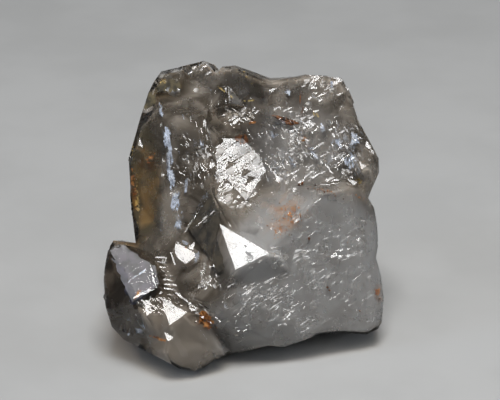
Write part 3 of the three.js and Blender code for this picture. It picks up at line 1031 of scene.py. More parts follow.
GLINTS = (
    # the small V at the top of the low middle crystal
    one_facet((-12.9, 22.7), (4.4, 1.3), -68),
    one_facet((-10.9, 23.1), (4.4, 1.0), 58),
    one_facet((-11.9, 24.4), (1.5, 1.3), 0, Facing.LEFT),
    one_facet((-9.7, 21.6), (2.8, 1.1), 58, Facing.LEFT),
    # the ladder of short steps beside the low left crystal, and the longer steps below it
    Facets((-16.9, 22.0), (-14.4, 14.4), 9, 2.1, 0.32, -8, (0.25, 0.1)),
    Facets((-15.6, 20.6), (-13.4, 15.0), 6, 1.2, 0.28, -14, (0.5, 0.2)),
    Facets((-13.4, 15.0), (-4.0, 6.8), 8, 1.8, 0.45, -42, (0.35, 0.2)),
    Facets((-11.2, 14.8), (-4.4, 8.8), 7, 1.1, 0.3, -40, (0.5, 0.3)),
    patch_of_facets((-7.4, 18.4), (2.1, 3.2), 30, (1.0, 0.3), -55),
    patch_of_facets((-17.2, 12.6), (3.8, 1.5), 22, (1.6, 0.4), -33),
    Facets((-18.4, 20.2), (-17.4, 16.2), 6, 1.3, 0.4, -72, (0.2, 0.2)),
    # bright lines on the dark shoulder's edges
    one_facet((-7.9, 29.3), (5.4, 0.22), 41),
    Facets((-12.0, 26.6), (-7.4, 33.6), 5, 2.0, 0.16, 56, (0.1, 0.1)),
    Facets((-9.4, 27.6), (-6.0, 30.8), 6, 1.6, 0.12, 42, (0.6, 0.5)),
    # the small step across the big bright facet
    one_facet((0.9, 22.4), (2.2, 0.2), -52, Facing.LEFT, 0.07),
    # growth lines on the milky crystal under the big facet
    patch_of_facets((0.6, 15.2), (0.3, 0.3), 2, (2.7, 0.26), 33),
    patch_of_facets((5.0, 17.4), (0.3, 0.4), 2, (3.4, 0.26), 33),
    patch_of_facets((11.4, 22.2), (1.8, 1.2), 10, (1.2, 0.28), 20),
    patch_of_facets((19.0, 22.6), (2.0, 1.6), 14, (1.1, 0.4), 12),
    Facets((22.0, 25.0), (23.4, 25.8), 2, 1.8, 0.6, 35),
    patch_of_facets((3.5, 12.5), (8.5, 4.5), 100, (0.9, 0.14), 33),
    patch_of_facets((12.0, 17.0), (13.0, 11.0), 90, (0.9, 0.16), 32),
    patch_of_facets((-1.5, 8.6), (3.6, 3.6), 20, (0.8, 0.2), 20),
    # the etched patch above the big facet, and the flashes over it
    patch_of_facets((-1.4, 32.4), (2.4, 1.4), 16, (1.2, 0.5), 20),
    patch_of_facets((-3.6, 35.2), (2.0, 3.4), 20, (1.8, 0.7), 33),
    Facets((-4.8, 44.0), (-5.0, 38.0), 9, 1.8, 0.8, 33, (0.4, 0.3)),
    patch_of_facets((-1.6, 49.5), (3.2, 1.8), 26, (1.3, 0.3), -32),
    patch_of_facets((0.8, 50.6), (1.8, 0.9), 14, (1.3, 0.3), 30),
    Facets((-4.0, 50.6), (-1.6, 48.6), 5, 2.2, 0.5, 28, (0.3, 0.2)),
    # streaks over the upper half
    patch_of_facets((8.0, 44.4), (8.0, 5.0), 70, (1.0, 0.17), -45),
    Facets((11.6, 45.0), (17.2, 38.0), 15, 1.1, 0.3, -50, (0.7, 0.7)),
    patch_of_facets((19.6, 42.5), (3.4, 5.0), 20, (1.2, 0.35), -60),
    patch_of_facets((21.2, 43.0), (3.0, 5.0), 30, (1.8, 0.6), -62, Facing.RIGHT),
    patch_of_facets((14.3, 56.4), (1.7, 1.2), 14, (0.9, 0.22), 38),
    patch_of_facets((14.6, 56.6), (1.5, 1.0), 10, (0.7, 0.2), -28),
    patch_of_facets((12.8, 51.4), (1.2, 0.9), 8, (0.8, 0.3), -20),
    patch_of_facets((21.4, 46.4), (2.0, 1.5), 12, (1.2, 0.35), -30),
    patch_of_facets((25.0, 43.0), (1.0, 2.0), 8, (1.2, 0.5), -70),
    patch_of_facets((11.0, 49.5), (7.0, 5.0), 24, (1.1, 0.25), -40, Facing.RIGHT),
    patch_of_facets((-8.8, 59.4), (3.0, 1.4), 8, (1.6, 0.4), 30),
    patch_of_facets((-9.5, 42.5), (3.0, 7.5), 46, (1.3, 0.2), -70),
    Facets((-15.5, 46.6), (-15.0, 37.6), 14, 2.3, 0.4, -82, (0.5, 0.4), Facing.LEFT),
    Facets((-14.2, 34.8), (-12.8, 26.4), 18, 1.7, 0.35, -78, (0.9, 0.5), Facing.LEFT),
    patch_of_facets((-12.0, 44.0), (4.0, 8.0), 20, (1.4, 0.2), -80, Facing.LEFT),
    # the small bright ovals low on the left
    patch_of_facets((-21.4, 7.8), (2.4, 2.2), 4, (1.5, 0.7), -30, Facing.LEFT),
)


@dataclass(frozen=True)
class SmallFacets:
    """Builds the small facets as wedges that stand a little proud of the skin."""

    facets: tuple[Facets, ...] = GLINTS
    spread_of_size: Pair = (0.6, 1.4)
    ragged_length: Pair = (0.85, 1.1)
    ragged_width: Pair = (0.8, 1.15)
    root: float = 0.25
    lift: float = 0.03
    most_lift: float = 0.4
    thick: float = 0.5
    skirt: float = 1.12
    rim: float = 1.2
    turn_spread: float = 7.0
    seed: int = 77
    outline: tuple[Pair, ...] = (
        (-0.5, 0.0), (-0.26, 0.46), (0.2, 0.5), (0.5, 0.06), (0.28, -0.44), (-0.2, -0.5),
    )

    def build(self, probe: Probe) -> Thing:
        """Build the wedges as a helper object of closed islands.

        Args:
            probe: The probe of the stone's skin.

        Returns:
            The helper object.
        """
        draw = random.Random(self.seed)
        made = mesh_object("small_facets")
        with opened(made) as work:
            for facets in self.facets:
                for i in range(facets.count):
                    share = (i + 0.5) / facets.count
                    angle, far = draw.uniform(0, 2 * math.pi), math.sqrt(draw.random())
                    jitter = math.cos(angle) * far, math.sin(angle) * far
                    ends = zip(facets.start, facets.end, jitter, facets.scatter, strict=True)
                    spot = [a + (b - a) * share + shift * reach for a, b, shift, reach in ends]
                    self._wedge(work, probe, facets, spot, draw)
        return made

    def _wedge(
        self, work: bmesh.types.BMesh, probe: Probe, facets: Facets, spot: list[float], draw: random.Random
    ) -> None:
        """Add one wedge.

        Args:
            work: The mesh it goes into.
            probe: The probe of the stone's skin.
            facets: What kind of facet it is.
            spot: Where it stands, in the face frame, in millimetres.
            draw: The random numbers.
        """
        single = facets.count == 1
        grow = [1.0 if single else draw.uniform(*self.spread_of_size) for _ in range(2)]
        turn = math.radians(facets.turn + (0.0 if single else draw.gauss(0, self.turn_spread)))
        way = np.array(facets.facing.value) + [draw.gauss(0, facets.wander), draw.gauss(0, facets.wander), 0]
        flat, gaps = [], []
        for along, across in self.outline:
            x = along * facets.length * grow[0] * draw.uniform(*self.ragged_length)
            y = across * facets.width * grow[1] * draw.uniform(*self.ragged_width)
            x, y = turned(x, y, turn)
            z = -(way[0] * x + way[1] * y) / way[2]
            skin = probe.height(spot[0] + x, spot[1] + y)
            flat.append((x, y, z))
            gaps.append(math.inf if skin is None else skin - z)
        if not math.isfinite(max(gaps)) or probe.height(spot[0], spot[1] - self.rim) is None:
            return
        middle = sum(gaps) / len(gaps)
        level = min(max(gaps), middle + self.most_lift) + self.lift
        deep = level - middle + self.thick + self.root * facets.length * grow[0]
        tops = [(spot[0] + x, spot[1] + y, level + z) for x, y, z in flat]
        feet = [(spot[0] + x * self.skirt, spot[1] + y * self.skirt, level + z - deep) for x, y, z in flat]
        verts = [work.verts.new(FACE.place(np.array(corner))) for corner in tops + feet]
        bmesh.ops.convex_hull(work, input=verts)


@dataclass(frozen=True)
class Ridges(Ellipse):
    """A place on the front that is ridged all one way, in millimetres and degrees."""

    pitch: float
    height: float
    turn: float
    edge: float
    stretch: float = 5.0
    everywhere: bool = False
    floor: float = -8.0
    soft: Pair = (1.1, 0.3)

    def share(self, spots: np.ndarray) -> np.ndarray:
        """Return how much of the ridges stands at each spot: 1 in the middle, 0 outside."""
        return np.where(spots[:, 2] > self.floor, self.inside(spots, *self.soft), 0)

    def raised(self, spot: np.ndarray, number: int) -> float:
        """Work out how high the ridges stand at a spot.

        Args:
            spot: The spot, in the face frame.
            number: The zone's number, which picks its noise.

        Returns:
            A height of about -1 to 1.
        """
        turn = math.radians(self.turn)
        along, across = turned(spot[0] - self.spot[0], spot[1] - self.spot[1], -turn)
        place = Vector((across / self.pitch, along / (self.pitch * self.stretch), RIDGE_NOISE_STEP * number))
        return noise.fractal(place, 0.8, 2.0, 3)


RIDGES = (
    Ridges((-1.4, 41.2), (5.6, 5.0), 0.8, 0.05, 33, 0.26, 14.0, everywhere=True),
    Ridges((0.0, 34.6), (5.4, 5.4), 0.45, 0.035, 33, 0.25, 4.0, everywhere=True),
    Ridges((0.7, 22.8), (1.0, 1.9), 0.5, 0.12, -53, 0.22, 12.0, everywhere=True),
    Ridges((13.0, 18.0), (17.0, 17.0), 0.9, 0.013, 32, 0.65, 8.0),
    Ridges((9.0, 45.0), (9.0, 8.0), 0.5, 0.04, -45, 0.36, 9.0),
    Ridges((20.5, 44.0), (5.0, 9.0), 0.6, 0.05, -60, 0.38, 9.0),
    Ridges((-10.5, 38.0), (5.0, 9.0), 0.5, 0.05, -75, 0.38),
    Ridges((-12.0, 18.0), (7.0, 6.0), 0.5, 0.03, -40, 0.38),
    Ridges((0.0, 54.0), (9.0, 4.0), 0.5, 0.05, -20, 0.4),
    Ridges((-20.0, 40.0), (6.0, 12.0), 0.9, 0.03, -85, 0.65),
)


@dataclass(frozen=True)
class ClearBody:
    """The grown stone: its big crystals, and the small parallel ones that Geometry Nodes grow on them."""

    node: Thing
    growth: GrowthMap = GrowthMap()
    seeds: SeedCrystals = SeedCrystals()
    crowding: float = 1.0
    random_seed: int = 5
    seed_step: float = 17.0
    size_luck: Pair = (0.45, 1.8)
    rise_luck: Pair = (0.25, 1.3)
    least_size: float = 0.45
    under: float = 0.0006
    face_pitch: float = 0.0011
    back_pitch: float = 0.0018
    front_floor: float = -9.0
    flat_bend: float = math.radians(0.3)
    most_triangles: int = 195000
    ridges: tuple[Ridges, ...] = RIDGES
    weather: tuple[Pair, ...] = ((5.0, 0.05), (1.6, 0.012))
    etched_patch: Ellipse = Ellipse((-0.8, 38.0), (5.5, 8.0))
    calm_edge: Pair = (0.8, 0.4)
    least_calm: float = 0.12
    etched_calm: float = 0.3
    foot: float = 0.002
    front_edge: Pair = (0.0, 0.3)
    least_ridge: float = 0.1
    flat_near: float = math.cos(math.radians(9))
    flat_far: float = math.cos(math.radians(16))
    flat_shaded: float = math.cos(math.radians(4))
    sharp: float = math.radians(16)

    def build(self, material: Material) -> Thing:
        """Grow the steps on the body and dress it.

        Args:
            material: The clear quartz material.

        Returns:
            The finished piece.
        """
        body = welded_copy(self.node, "quartz_crystals")
        skin = welded_copy(self.node, "growth_skin")
        split_long_edges(skin, lambda spots: np.full(len(spots), self.face_pitch))
        shapes = self.seeds.shapes()
        facets = SmallFacets().build(Probe(self.node))
        self._mark(skin, shapes)
        tree = self._tree(skin, shapes, facets, material)
        run_tree(body, tree, Crowding=self.crowding, Seed=self.random_seed)
        drop(skin, facets, *[shape for shape, _ in shapes])
        merge_flats(body, self.flat_bend)
        split_long_edges(body, self._pitch)
        self._carve(body.data)
        self._weather(body.data)
        thin_out(body, self.most_triangles)
        self._polish(body.data)
        return body

    def _polish(self, mesh: bpy.types.Mesh) -> None:
        """Shade the skin smooth, and leave the faces that flash flat.

        Args:
            mesh: The grown body's mesh.
        """
        flash = self._near_flash(FACE.unturn(rows_of(mesh.polygons, "normal")))
        mesh.set_sharp_from_angle(angle=self.sharp)
        mesh.polygons.foreach_set("use_smooth", flash < self.flat_shaded)

    @staticmethod
    def _near_flash(ways: np.ndarray) -> np.ndarray:
        """Return how nearly each direction of the face frame looks one of the ways that flash, at most 1."""
        facets = np.array([facing.value for facing in Facing])
        return (ways @ facets.T / np.linalg.norm(facets, axis=1)).max(axis=1)

    def _pitch(self, spots: np.ndarray) -> np.ndarray:
        """Give the longest edge of the finished skin at each of an array of places.

        Args:
            spots: The places, in metres.

        Returns:
            The edges, in metres.
        """
        flat = FACE.back(spots)
        longest = np.where(flat[:, 2] > self.front_floor, self.face_pitch, self.back_pitch)
        for zone in self.ridges:
            longest[zone.share(flat) > 0] = zone.edge * MM
        return longest

    def _carve(self, mesh: bpy.types.Mesh) -> None:
        """Raise the growth ridges on the front of the skin.

        Args:
            mesh: The grown body's mesh.
        """
        points, normals = rows_of(mesh.vertices, "co"), rows_of(mesh.vertices, "normal")
        spots, ways = FACE.back(points), FACE.unturn(normals)
        front = fade(ways[:, 2], *self.front_edge)
        flash = self._near_flash(ways)
        rough = (self.flat_near - flash) / (self.flat_near - self.flat_far)
        rough = np.clip(rough, self.least_ridge, 1)
        for number, zone in enumerate(self.ridges):
            share = zone.share(spots) * (front if zone.everywhere else front * rough)
            for i in np.flatnonzero(share > 0):
                points[i] += normals[i] * (zone.raised(spots[i], number) * zone.height * share[i]) * MM
        move_vertices(mesh, points)

    def _weather(self, mesh: bpy.types.Mesh) -> None:
        """Move the skin by slow noise, so that no face stays perfectly flat.

        Args:
            mesh: The grown body's mesh.
        """
        points = rows_of(mesh.vertices, "co")
        spots = FACE.back(points)
        calm = fade(self.etched_patch.far(spots), *self.calm_edge, self.etched_calm)
        for ellipse in self.growth.clean:
            calm = np.minimum(calm, fade(ellipse.far(spots), *self.calm_edge, self.least_calm))
        calm *= fade(points[:, 2], 0.0, self.foot)
        for i, (point, share) in enumerate(zip(points, calm, strict=True)):
            for wave, high in self.weather:
                points[i] += np.array(noise.noise_vector(Vector(point) / (wave * MM))) * share * high * MM
        points[:, 2] = np.maximum(points[:, 2], 0.0)
        move_vertices(mesh, points)

    def _mark(self, skin: Thing, shapes: list[tuple[Thing, np.ndarray]]) -> None:
        """Store on the skin's corners how the small crystals grow there.

        Args:
            skin: The finely cut copy of the body.
            shapes: The seed crystals and their corners.
        """
        mesh = skin.data
        points, normals = rows_of(mesh.vertices, "co"), rows_of(mesh.vertices, "normal")
        stored = self.growth.measure(points, normals)
        most = self._room(points - normals * self.under) / (self.seeds.length + 1.0)
        stored["crowd"][most < self.least_size * stored["size"]] = 0
        stored["crowd"] *= 1e6
        stored["size"] /= MM
        stored["most"] = most / MM
        for i, (_, corners) in enumerate(shapes):
            top = corners[corners @ LATTICE.axis() > -self.seeds.length + 0.5]
            stored[f"reach_{i}"] = (normals @ top.T).max(axis=1) * MM
        for name, values in stored.items():
            mesh.attributes.new(name, "FLOAT", "POINT").data.foreach_set("value", values)

    def _room(self, points: np.ndarray) -> np.ndarray:
        """Return how far a root can run from each point, against the axis, before it leaves the stone."""
        tree, down = tree_of(self.node), Vector(-LATTICE.axis())
        return np.array([tree.ray_cast(Vector(point), down)[3] or 0.0 for point in points])

    def _tree(self, skin: Thing, shapes: list, facets: Thing, material: Material) -> bpy.types.NodeTree:
        """Build the tree that scatters the small crystals and joins them and the small facets to the body.

        Args:
            skin: The marked skin that they are scattered over.
            shapes: The seed crystals.
            facets: The small facets.
            material: The material of the result.

        Returns:
            The Geometry Nodes tree.
        """
        sheet, start, out = new_tree("parallel_growth", Crowding="Float", Seed="Int")
        source = sheet.geometry_of(skin)
        dense = sheet.math("MULTIPLY", sheet.attribute("crowd"), start.outputs["Crowding"])
        wide = sheet.attribute("wide")
        ledge = sheet.math("DIVIDE", sheet.math("MULTIPLY", dense, wide), self.seeds.ledges)
        block = sheet.math("MULTIPLY", dense, sheet.math("SUBTRACT", 1.0, wide))
        block = sheet.math("DIVIDE", block, self.seeds.kinds)
        crystals = []
        for i, (shape, _) in enumerate(shapes):
            turn = sheet.math("ADD", start.outputs["Seed"], self.seed_step * i)
            scatter = {"Mesh": source, "Density": block if i < self.seeds.kinds else ledge, "Seed": turn}
            spots = sheet.add("GeometryNodeDistributePointsOnFaces", scatter)
            size = sheet.math("MULTIPLY", sheet.attribute("size"), sheet.luck(self.size_luck, turn))
            radius = sheet.math("MINIMUM", size, sheet.attribute("most"))
            sized = {0: spots.outputs[0], 2: "radius", 3: radius}
            points = sheet.add("GeometryNodeStoreNamedAttribute", sized).outputs[0]
            luck = sheet.luck(self.rise_luck, sheet.math("ADD", turn, 5.0))
            rise = sheet.math("MULTIPLY", sheet.attribute("rise"), luck)
            kept = sheet.attribute("radius")
            lift = sheet.math("SUBTRACT", rise, sheet.math("MULTIPLY", kept, sheet.attribute(f"reach_{i}")))
            way = {0: spots.outputs["Normal"], 3: lift}
            offset = sheet.add("ShaderNodeVectorMath", way, operation="SCALE").outputs[0]
            lifted = {"Geometry": points, "Offset": offset}
            points = sheet.add("GeometryNodeSetPosition", lifted).outputs[0]
            grown = {"Points": points, "Instance": sheet.geometry_of(shape), "Scale": kept}
            crystals.append(sheet.add("GeometryNodeInstanceOnPoints", grown).outputs[0])
        island = sheet.add("GeometryNodeInputMeshIsland").outputs["Island Index"]
        wedges = {"Geometry": sheet.geometry_of(facets), "Group ID": island}
        crystals.append(sheet.add("GeometryNodeSplitToInstances", wedges, domain="FACE").outputs[0])
        union = sheet.add("GeometryNodeMeshBoolean", operation="UNION", solver="MANIFOLD")
        for geometry in (start.outputs[0], *crystals):
            sheet.feed(union, {"Mesh 2": geometry})
        finish_tree(sheet, out, union.outputs[0], material)
        return sheet.tree


# ---------------------------------------------------------------------------
# The milky inside
# ---------------------------------------------------------------------------
@dataclass(frozen=True)
class MilkyHeart:
    """The cloudy mass inside: close under the skin of the slab, deep down in the clear crystals."""

    node: Thing
    steps: int = 110
    clear_depth: float = 1.1
    least_depth: float = 0.4
    wisp: float = 2.6
    wisp_scale: float = 260.0
    wisp_fade: float = 0.004
    ray: Triple = (0.31, 0.17, 0.93)
    sharpness: float = 200.0
    level: float = 0.02
    milk: tuple[Patch, ...] = (
        Patch((12.0, 18.0, 4.0), (20.0, 20.5, 22.0), 1.4, 0.7),
        Patch((-2.0, 8.0, 6.0), (12.0, 8.0, 14.0), 1.2, 0.5),
        Patch((-10.0, 48.0, 2.0), (8.0, 8.0, 8.0), 0.8, 0.3),
        Patch((-24.0, 40.0, -6.0), (6.0, 18.0, 14.0), 0.9, 0.6),
        Patch((-10.0, 2.0, 6.0), (11.0, 5.0, 14.0), 0.8, 0.5),
        Patch((4.0, 58.0, -4.0), (24.0, 6.0, 13.0), 0.55, 0.6),
        Patch((22.0, 50.0, -3.0), (7.0, 10.0, 12.0), 0.55, 0.5),
        Patch((26.0, 30.0, -3.0), (5.0, 30.0, 14.0), 0.55, 0.6),
        Patch((-14.6, 30.0, 2.0), (3.2, 7.5, 9.0), 0.7, 0.4),
        Patch((-1.6, 31.0, 8.0), (3.6, 3.0, 7.0), 0.6, 0.4),
    )
    clear: tuple[Patch, ...] = (
        Patch((-25.0, 17.0, 7.0), (8.0, 14.0, 12.0), 5.0, 0.4),
        Patch((-16.0, 14.0, 10.0), (6.0, 7.0, 8.0), 1.2, 0.4),
        Patch((-9.5, 30.0, 9.0), (5.0, 6.0, 9.0), 1.0, 0.5),
    )

    def build(self, material: Material) -> Thing:
        """Grow the cloud inside the body by its distance from the skin.

        Args:
            material: The milky material.

        Returns:
            The finished piece.
        """
        shell = welded_copy(self.node, "shell")
        heart = mesh_object("milky_heart", [(0.0, 0.0, 0.0)])
        tree = self._tree(shell, material)
        run_tree(heart, tree, Depth=self.clear_depth * MM, Wisp=self.wisp * MM)
        drop(shell)
        heart.data.polygons.foreach_set("use_smooth", [True] * len(heart.data.polygons))
        return heart

    def _tree(self, shell: Thing, material: Material) -> bpy.types.NodeTree:
        """Build the tree that fills a grid with depth under the skin and takes its surface.

        Args:
            shell: The closed body.
            material: The milky material.

        Returns:
            The Geometry Nodes tree.
        """
        sheet, start, out = new_tree("milky_cloud", Depth="Float", Wisp="Float")
        place = sheet.add("GeometryNodeInputPosition").outputs[0]
        skin = sheet.geometry_of(shell)
        near = sheet.add("GeometryNodeProximity", {0: skin, "Sample Position": place})
        ray = {"Target Geometry": skin, "Source Position": place, "Ray Direction": self.ray}
        cast = sheet.add("GeometryNodeRaycast", {**ray, "Ray Length": 1.0})
        facing = sheet.vector("DOT_PRODUCT", cast.outputs["Hit Normal"], self.ray)
        inside = sheet.math("MULTIPLY", sheet.math("GREATER_THAN", facing, 0.0), cast.outputs["Is Hit"])
        milk = sheet.math("MULTIPLY", sheet.cover(place, self.milk), MM)
        deeper = sheet.math("MULTIPLY", sheet.cover(place, self.clear), MM)
        clear = sheet.math("ADD", sheet.math("SUBTRACT", start.outputs["Depth"], milk), deeper)
        clear = sheet.math("MAXIMUM", clear, self.least_depth * MM)
        cloud = sheet.math("SUBTRACT", sheet.noise(place, self.wisp_scale, 3.0), 0.5)
        soft = sheet.math("MULTIPLY", cloud, start.outputs["Wisp"])
        ragged = sheet.math("MULTIPLY", soft, sheet.ramp(clear, 0.0, self.wisp_fade))
        side = sheet.math("SUBTRACT", sheet.math("MULTIPLY", inside, 2.0), 1.0)
        under = sheet.math("MULTIPLY", near.outputs["Distance"], side)
        depth = sheet.math("SUBTRACT", under, sheet.math("ADD", clear, ragged))
        kept = sheet.math("MAXIMUM", sheet.math("MULTIPLY", depth, self.sharpness), -1.0)
        low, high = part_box(NODE)
        grid = {"Density": kept, "Background": -1.0, "Min": low, "Max": high}
        grid |= {f"Resolution {axis}": self.steps for axis in "XYZ"}
        volume = sheet.add("GeometryNodeVolumeCube", grid).outputs[0]
        surface = sheet.add("GeometryNodeVolumeToMesh", {"Volume": volume, "Threshold": self.level})
        finish_tree(sheet, out, surface.outputs[0], material)
        return sheet.tree


# ---------------------------------------------------------------------------
# What is sealed in: iron oxide films, needles and specks, healed cracks, and sheets of smoky colour, painted
# reflection and painted shade
# ---------------------------------------------------------------------------
@dataclass(frozen=True)
class Film:
    """A thin ragged film just under the skin, in the face frame, in millimetres and degrees."""

    spot: Pair
    reach: Pair
    turn: float
    depth: float
    fill: float
    grain: float
    streak: float = 1.0
    shrink: float = 1.3

    def covers(self, x: float, y: float, number: int) -> bool:
        """Say whether the film covers a place.

        Args:
            x: Place across, from the middle.
            y: Place up, from the middle.
            number: The film's number, which shifts its noise.

        Returns:
            True where the film lies.
        """
        far = math.hypot(x / self.reach[0], y / self.reach[1])
        place = Vector((x / self.grain, y / (self.grain * self.streak), FILM_NOISE_STEP * number))
        return noise.fractal(place, 0.7, 2.0, 3) >= far * far * self.shrink - self.fill


@dataclass(frozen=True)
class Veil:
    """A thin even sheet just under one crystal face, in the face frame, in millimetres."""

    corners: tuple[Pair, ...]
    depth: float
    ragged: float
    turn: float = 0.0

    @property
    def spot(self) -> Pair:
        """Return the middle of the sheet."""
        return tuple((min(values) + max(values)) / 2 for values in zip(*self.corners, strict=True))

    @property
    def reach(self) -> Pair:
        """Return the sheet's half width and half height."""
        return tuple((max(values) - min(values)) / 2 for values in zip(*self.corners, strict=True))

    def covers(self, x: float, y: float, number: int) -> bool:
        """Say whether the sheet covers a place.

        Args:
            x: Place across, from the middle.
            y: Place up, from the middle.
            number: The film's number, which shifts its noise.

        Returns:
            True inside the outline.
        """
        shift = noise.noise_vector(Vector((x, y, FILM_NOISE_STEP * number))) * self.ragged
        x, y = self.spot[0] + x + shift.x, self.spot[1] + y + shift.y
        inside = False
        for (x0, y0), (x1, y1) in zip(self.corners, self.corners[1:] + self.corners[:1], strict=True):
            if (y0 > y) != (y1 > y) and x < x0 + (y - y0) * (x1 - x0) / (y1 - y0):
                inside = not inside
        return inside


@dataclass(frozen=True)
class SealedFilms:
    """Films of one finish, each following the skin above it."""

    name: str
    finish: str
    films: tuple[Film | Veil, ...]
    pitch: float = 0.16
    thickness: float = 0.05
    most_span: float = 0.8

    def build(self, probe: Probe, material: Material) -> Thing:
        """Build the films as one piece.

        Args:
            probe: The probe of the stone's skin.
            material: Their finish.

        Returns:
            The finished piece.
        """
        made = mesh_object(self.name)
        with opened(made) as work:
            for number, film in enumerate(self.films):
                self._lay(work, probe, film, number)
            loose = [v for v in work.verts if not v.link_faces]
            bmesh.ops.delete(work, geom=loose, context="VERTS")
        made.modifiers.new("thickness", "SOLIDIFY").thickness = self.thickness * MM
        settle(made)
        made.data.materials.append(material)
        return made

    def _lay(self, work: bmesh.types.BMesh, probe: Probe, film: Film | Veil, number: int) -> None:
        """Lay one film: a grid cut to its outline and dropped onto the skin.

        Args:
            work: The mesh it goes into.
            probe: The probe of the stone's skin.
            film: The film.
            number: Its number, which shifts its noise.
        """
        sine, cosine = math.sin(math.radians(film.turn)), math.cos(math.radians(film.turn))
        corners = {}

        def corner(i: int, j: int) -> bmesh.types.BMVert | None:
            """Find a corner of the grid, made when it is first asked for.

            Args:
                i: Its place across.
                j: Its place up.

            Returns:
                The corner, or None beside the stone.
            """
            if (i, j) not in corners:
                x, y = i * self.pitch, j * self.pitch
                across = film.spot[0] + x * cosine - y * sine
                up = film.spot[1] + x * sine + y * cosine
                spot = probe.under(across, up, film.depth)
                corners[i, j] = None if spot is None else work.verts.new(spot)
            return corners[i, j]

        wide, tall = (int(reach / self.pitch) + 1 for reach in film.reach)
        for i, j in product(range(-wide, wide), range(-tall, tall)):
            if not film.covers((i + 0.5) * self.pitch, (j + 0.5) * self.pitch, number):
                continue
            ring = [corner(i, j), corner(i, j + 1), corner(i + 1, j + 1), corner(i + 1, j)]
            if None in ring:
                continue
            if max((a.co - b.co).length for a, b in combinations(ring, 2)) <= self.most_span * MM:
                work.faces.new(reversed(ring))


@dataclass(frozen=True)
class Needle:
    """A needle of iron oxide from one spot to another, in the face frame, in millimetres."""

    start: Pair
    end: Pair
    width: float
    depth: float


@dataclass(frozen=True)
class IronNeedles:
    """Reddish-brown needles and specks sealed in the stone."""

    needles: tuple[Needle, ...] = (
        Needle((5.2, 49.8), (10.7, 48.1), 1.0, -0.05),
        Needle((6.2, 49.0), (9.0, 48.3), 0.4, 0.0),
        Needle((8.0, 48.2), (10.9, 48.2), 0.8, -0.05),
        Needle((10.9, 51.8), (11.0, 54.4), 0.3, 0.05),
        Needle((11.2, 50.0), (11.6, 51.8), 0.14, 0.3),
        Needle((2.6, 53.2), (5.4, 53.9), 0.07, 0.6),
    )
    specks: tuple[Triple, ...] = (
        (10.7, 36.0, 0.20), (11.3, 36.3, 0.26), (12.4, 35.2, 0.14), (13.9, 35.9, 0.18), (14.6, 35.1, 0.12),
        (15.6, 34.6, 0.16), (17.8, 33.8, 0.14), (19.4, 33.2, 0.12), (12.6, 25.4, 0.22), (16.3, 15.8, 0.2),
        (16.7, 15.2, 0.16), (22.8, 11.0, 0.14), (9.4, 25.0, 0.12), (5.4, 29.2, 0.1), (4.4, 28.0, 0.12),
        (-9.6, 9.2, 0.14), (-5.6, 8.0, 0.12), (-14.4, 23.6, 0.1), (20.2, 24.6, 0.1), (6.8, 32.4, 0.1),
    )
    speck_half_length: float = 1.6
    speck_half_width: float = 1.2
    sides: int = 6
    rings: int = 9
    blunt: float = 0.6
    rough: Pair = (0.55, 1.25)
    seed: int = 12

    def build(self, probe: Probe, material: Material) -> Thing:
        """Build the needles and specks as one piece.

        Args:
            probe: The probe of the stone's skin.
            material: The iron oxide finish.

        Returns:
            The finished piece.
        """
        draw = random.Random(self.seed)
        made = mesh_object("iron_needles")
        with opened(made) as work:
            for needle in self.needles:
                start, end = (probe.under(*spot, needle.depth) for spot in (needle.start, needle.end))
                self._spindle(work, start, end, needle.width * MM / 2, draw)
            for x, y, width in self.specks:
                middle = probe.under(x, y, 0.0)
                way = Vector([draw.uniform(-1, 1) for _ in range(3)]).normalized()
                half = way * width * MM * self.speck_half_length
                self._spindle(work, middle - half, middle + half, width * MM * self.speck_half_width, draw)
        made.data.materials.append(material)
        return made

    def _spindle(
        self, work: bmesh.types.BMesh, start: Vector, end: Vector, half: float, draw: random.Random
    ) -> None:
        """Add one rough spindle, pointed at both ends.

        Args:
            work: The mesh it goes into.
            start: One end.
            end: The other end.
            half: Half its width, in metres.
            draw: The random numbers.
        """
        way = (end - start).normalized()
        side = way.orthogonal().normalized()
        other = way.cross(side)
        tips = [work.verts.new(start), work.verts.new(end)]
        rows = []
        for ring in range(1, self.rings):
            share = ring / self.rings
            middle = start.lerp(end, share)
            thick = half * math.sin(math.pi * share) ** self.blunt
            row = []
            for k in range(self.sides):
                angle = 2 * math.pi * k / self.sides
                out = side * math.cos(angle) + other * math.sin(angle)
                row.append(work.verts.new(middle + out * thick * draw.uniform(*self.rough)))
            rows.append(row)
        for k in range(self.sides):
            after = (k + 1) % self.sides
            work.faces.new((tips[0], rows[0][after], rows[0][k]))
            work.faces.new((tips[1], rows[-1][k], rows[-1][after]))
            for low, high in zip(rows, rows[1:], strict=False):
                work.faces.new((low[k], low[after], high[after], high[k]))


ORANGE_FILMS = (
    Film((-7.6, 9.8), (1.5, 2.4), 30, -0.1, 0.6, 0.9),
    Film((-16.6, 6.0), (3.2, 0.4), -16, 0.1, 0.3, 0.6),
    Film((-20.9, 14.6), (1.4, 0.5), 60, 0.15, 0.3, 0.5),
    Film((26.5, 14.6), (0.6, 1.1), 0, 0.1, 0.6, 0.6),
    Film((4.4, 57.9), (2.8, 0.4), -16, 0.08, 0.7, 0.7),
    Film((9.2, 30.0), (4.0, 4.0), 40, 0.3, -0.2, 0.4),
    Film((7.0, 26.8), (3.0, 2.6), 20, 0.3, -0.22, 0.35),
    Film((15.8, 34.8), (4.5, 0.5), -14, 0.2, -0.05, 0.35),
    Film((11.8, 45.2), (0.9, 0.6), 30, 0.1, 0.3, 0.45),
    Film((1.6, 48.5), (1.6, 0.5), 15, 0.05, 0.25, 0.5),
    Film((22.6, 33.6), (2.4, 0.5), -20, 0.2, -0.02, 0.4),
    Film((-11.5, 23.6), (1.2, 0.3), 75, 0.15, 0.2, 0.5),
    Film((-18.8, 41.4), (2.2, 1.0), 30, 0.35, 0.0, 0.6),
    Film((-22.4, 36.4), (0.8, 4.6), 4, 0.35, 0.1, 0.8),
)
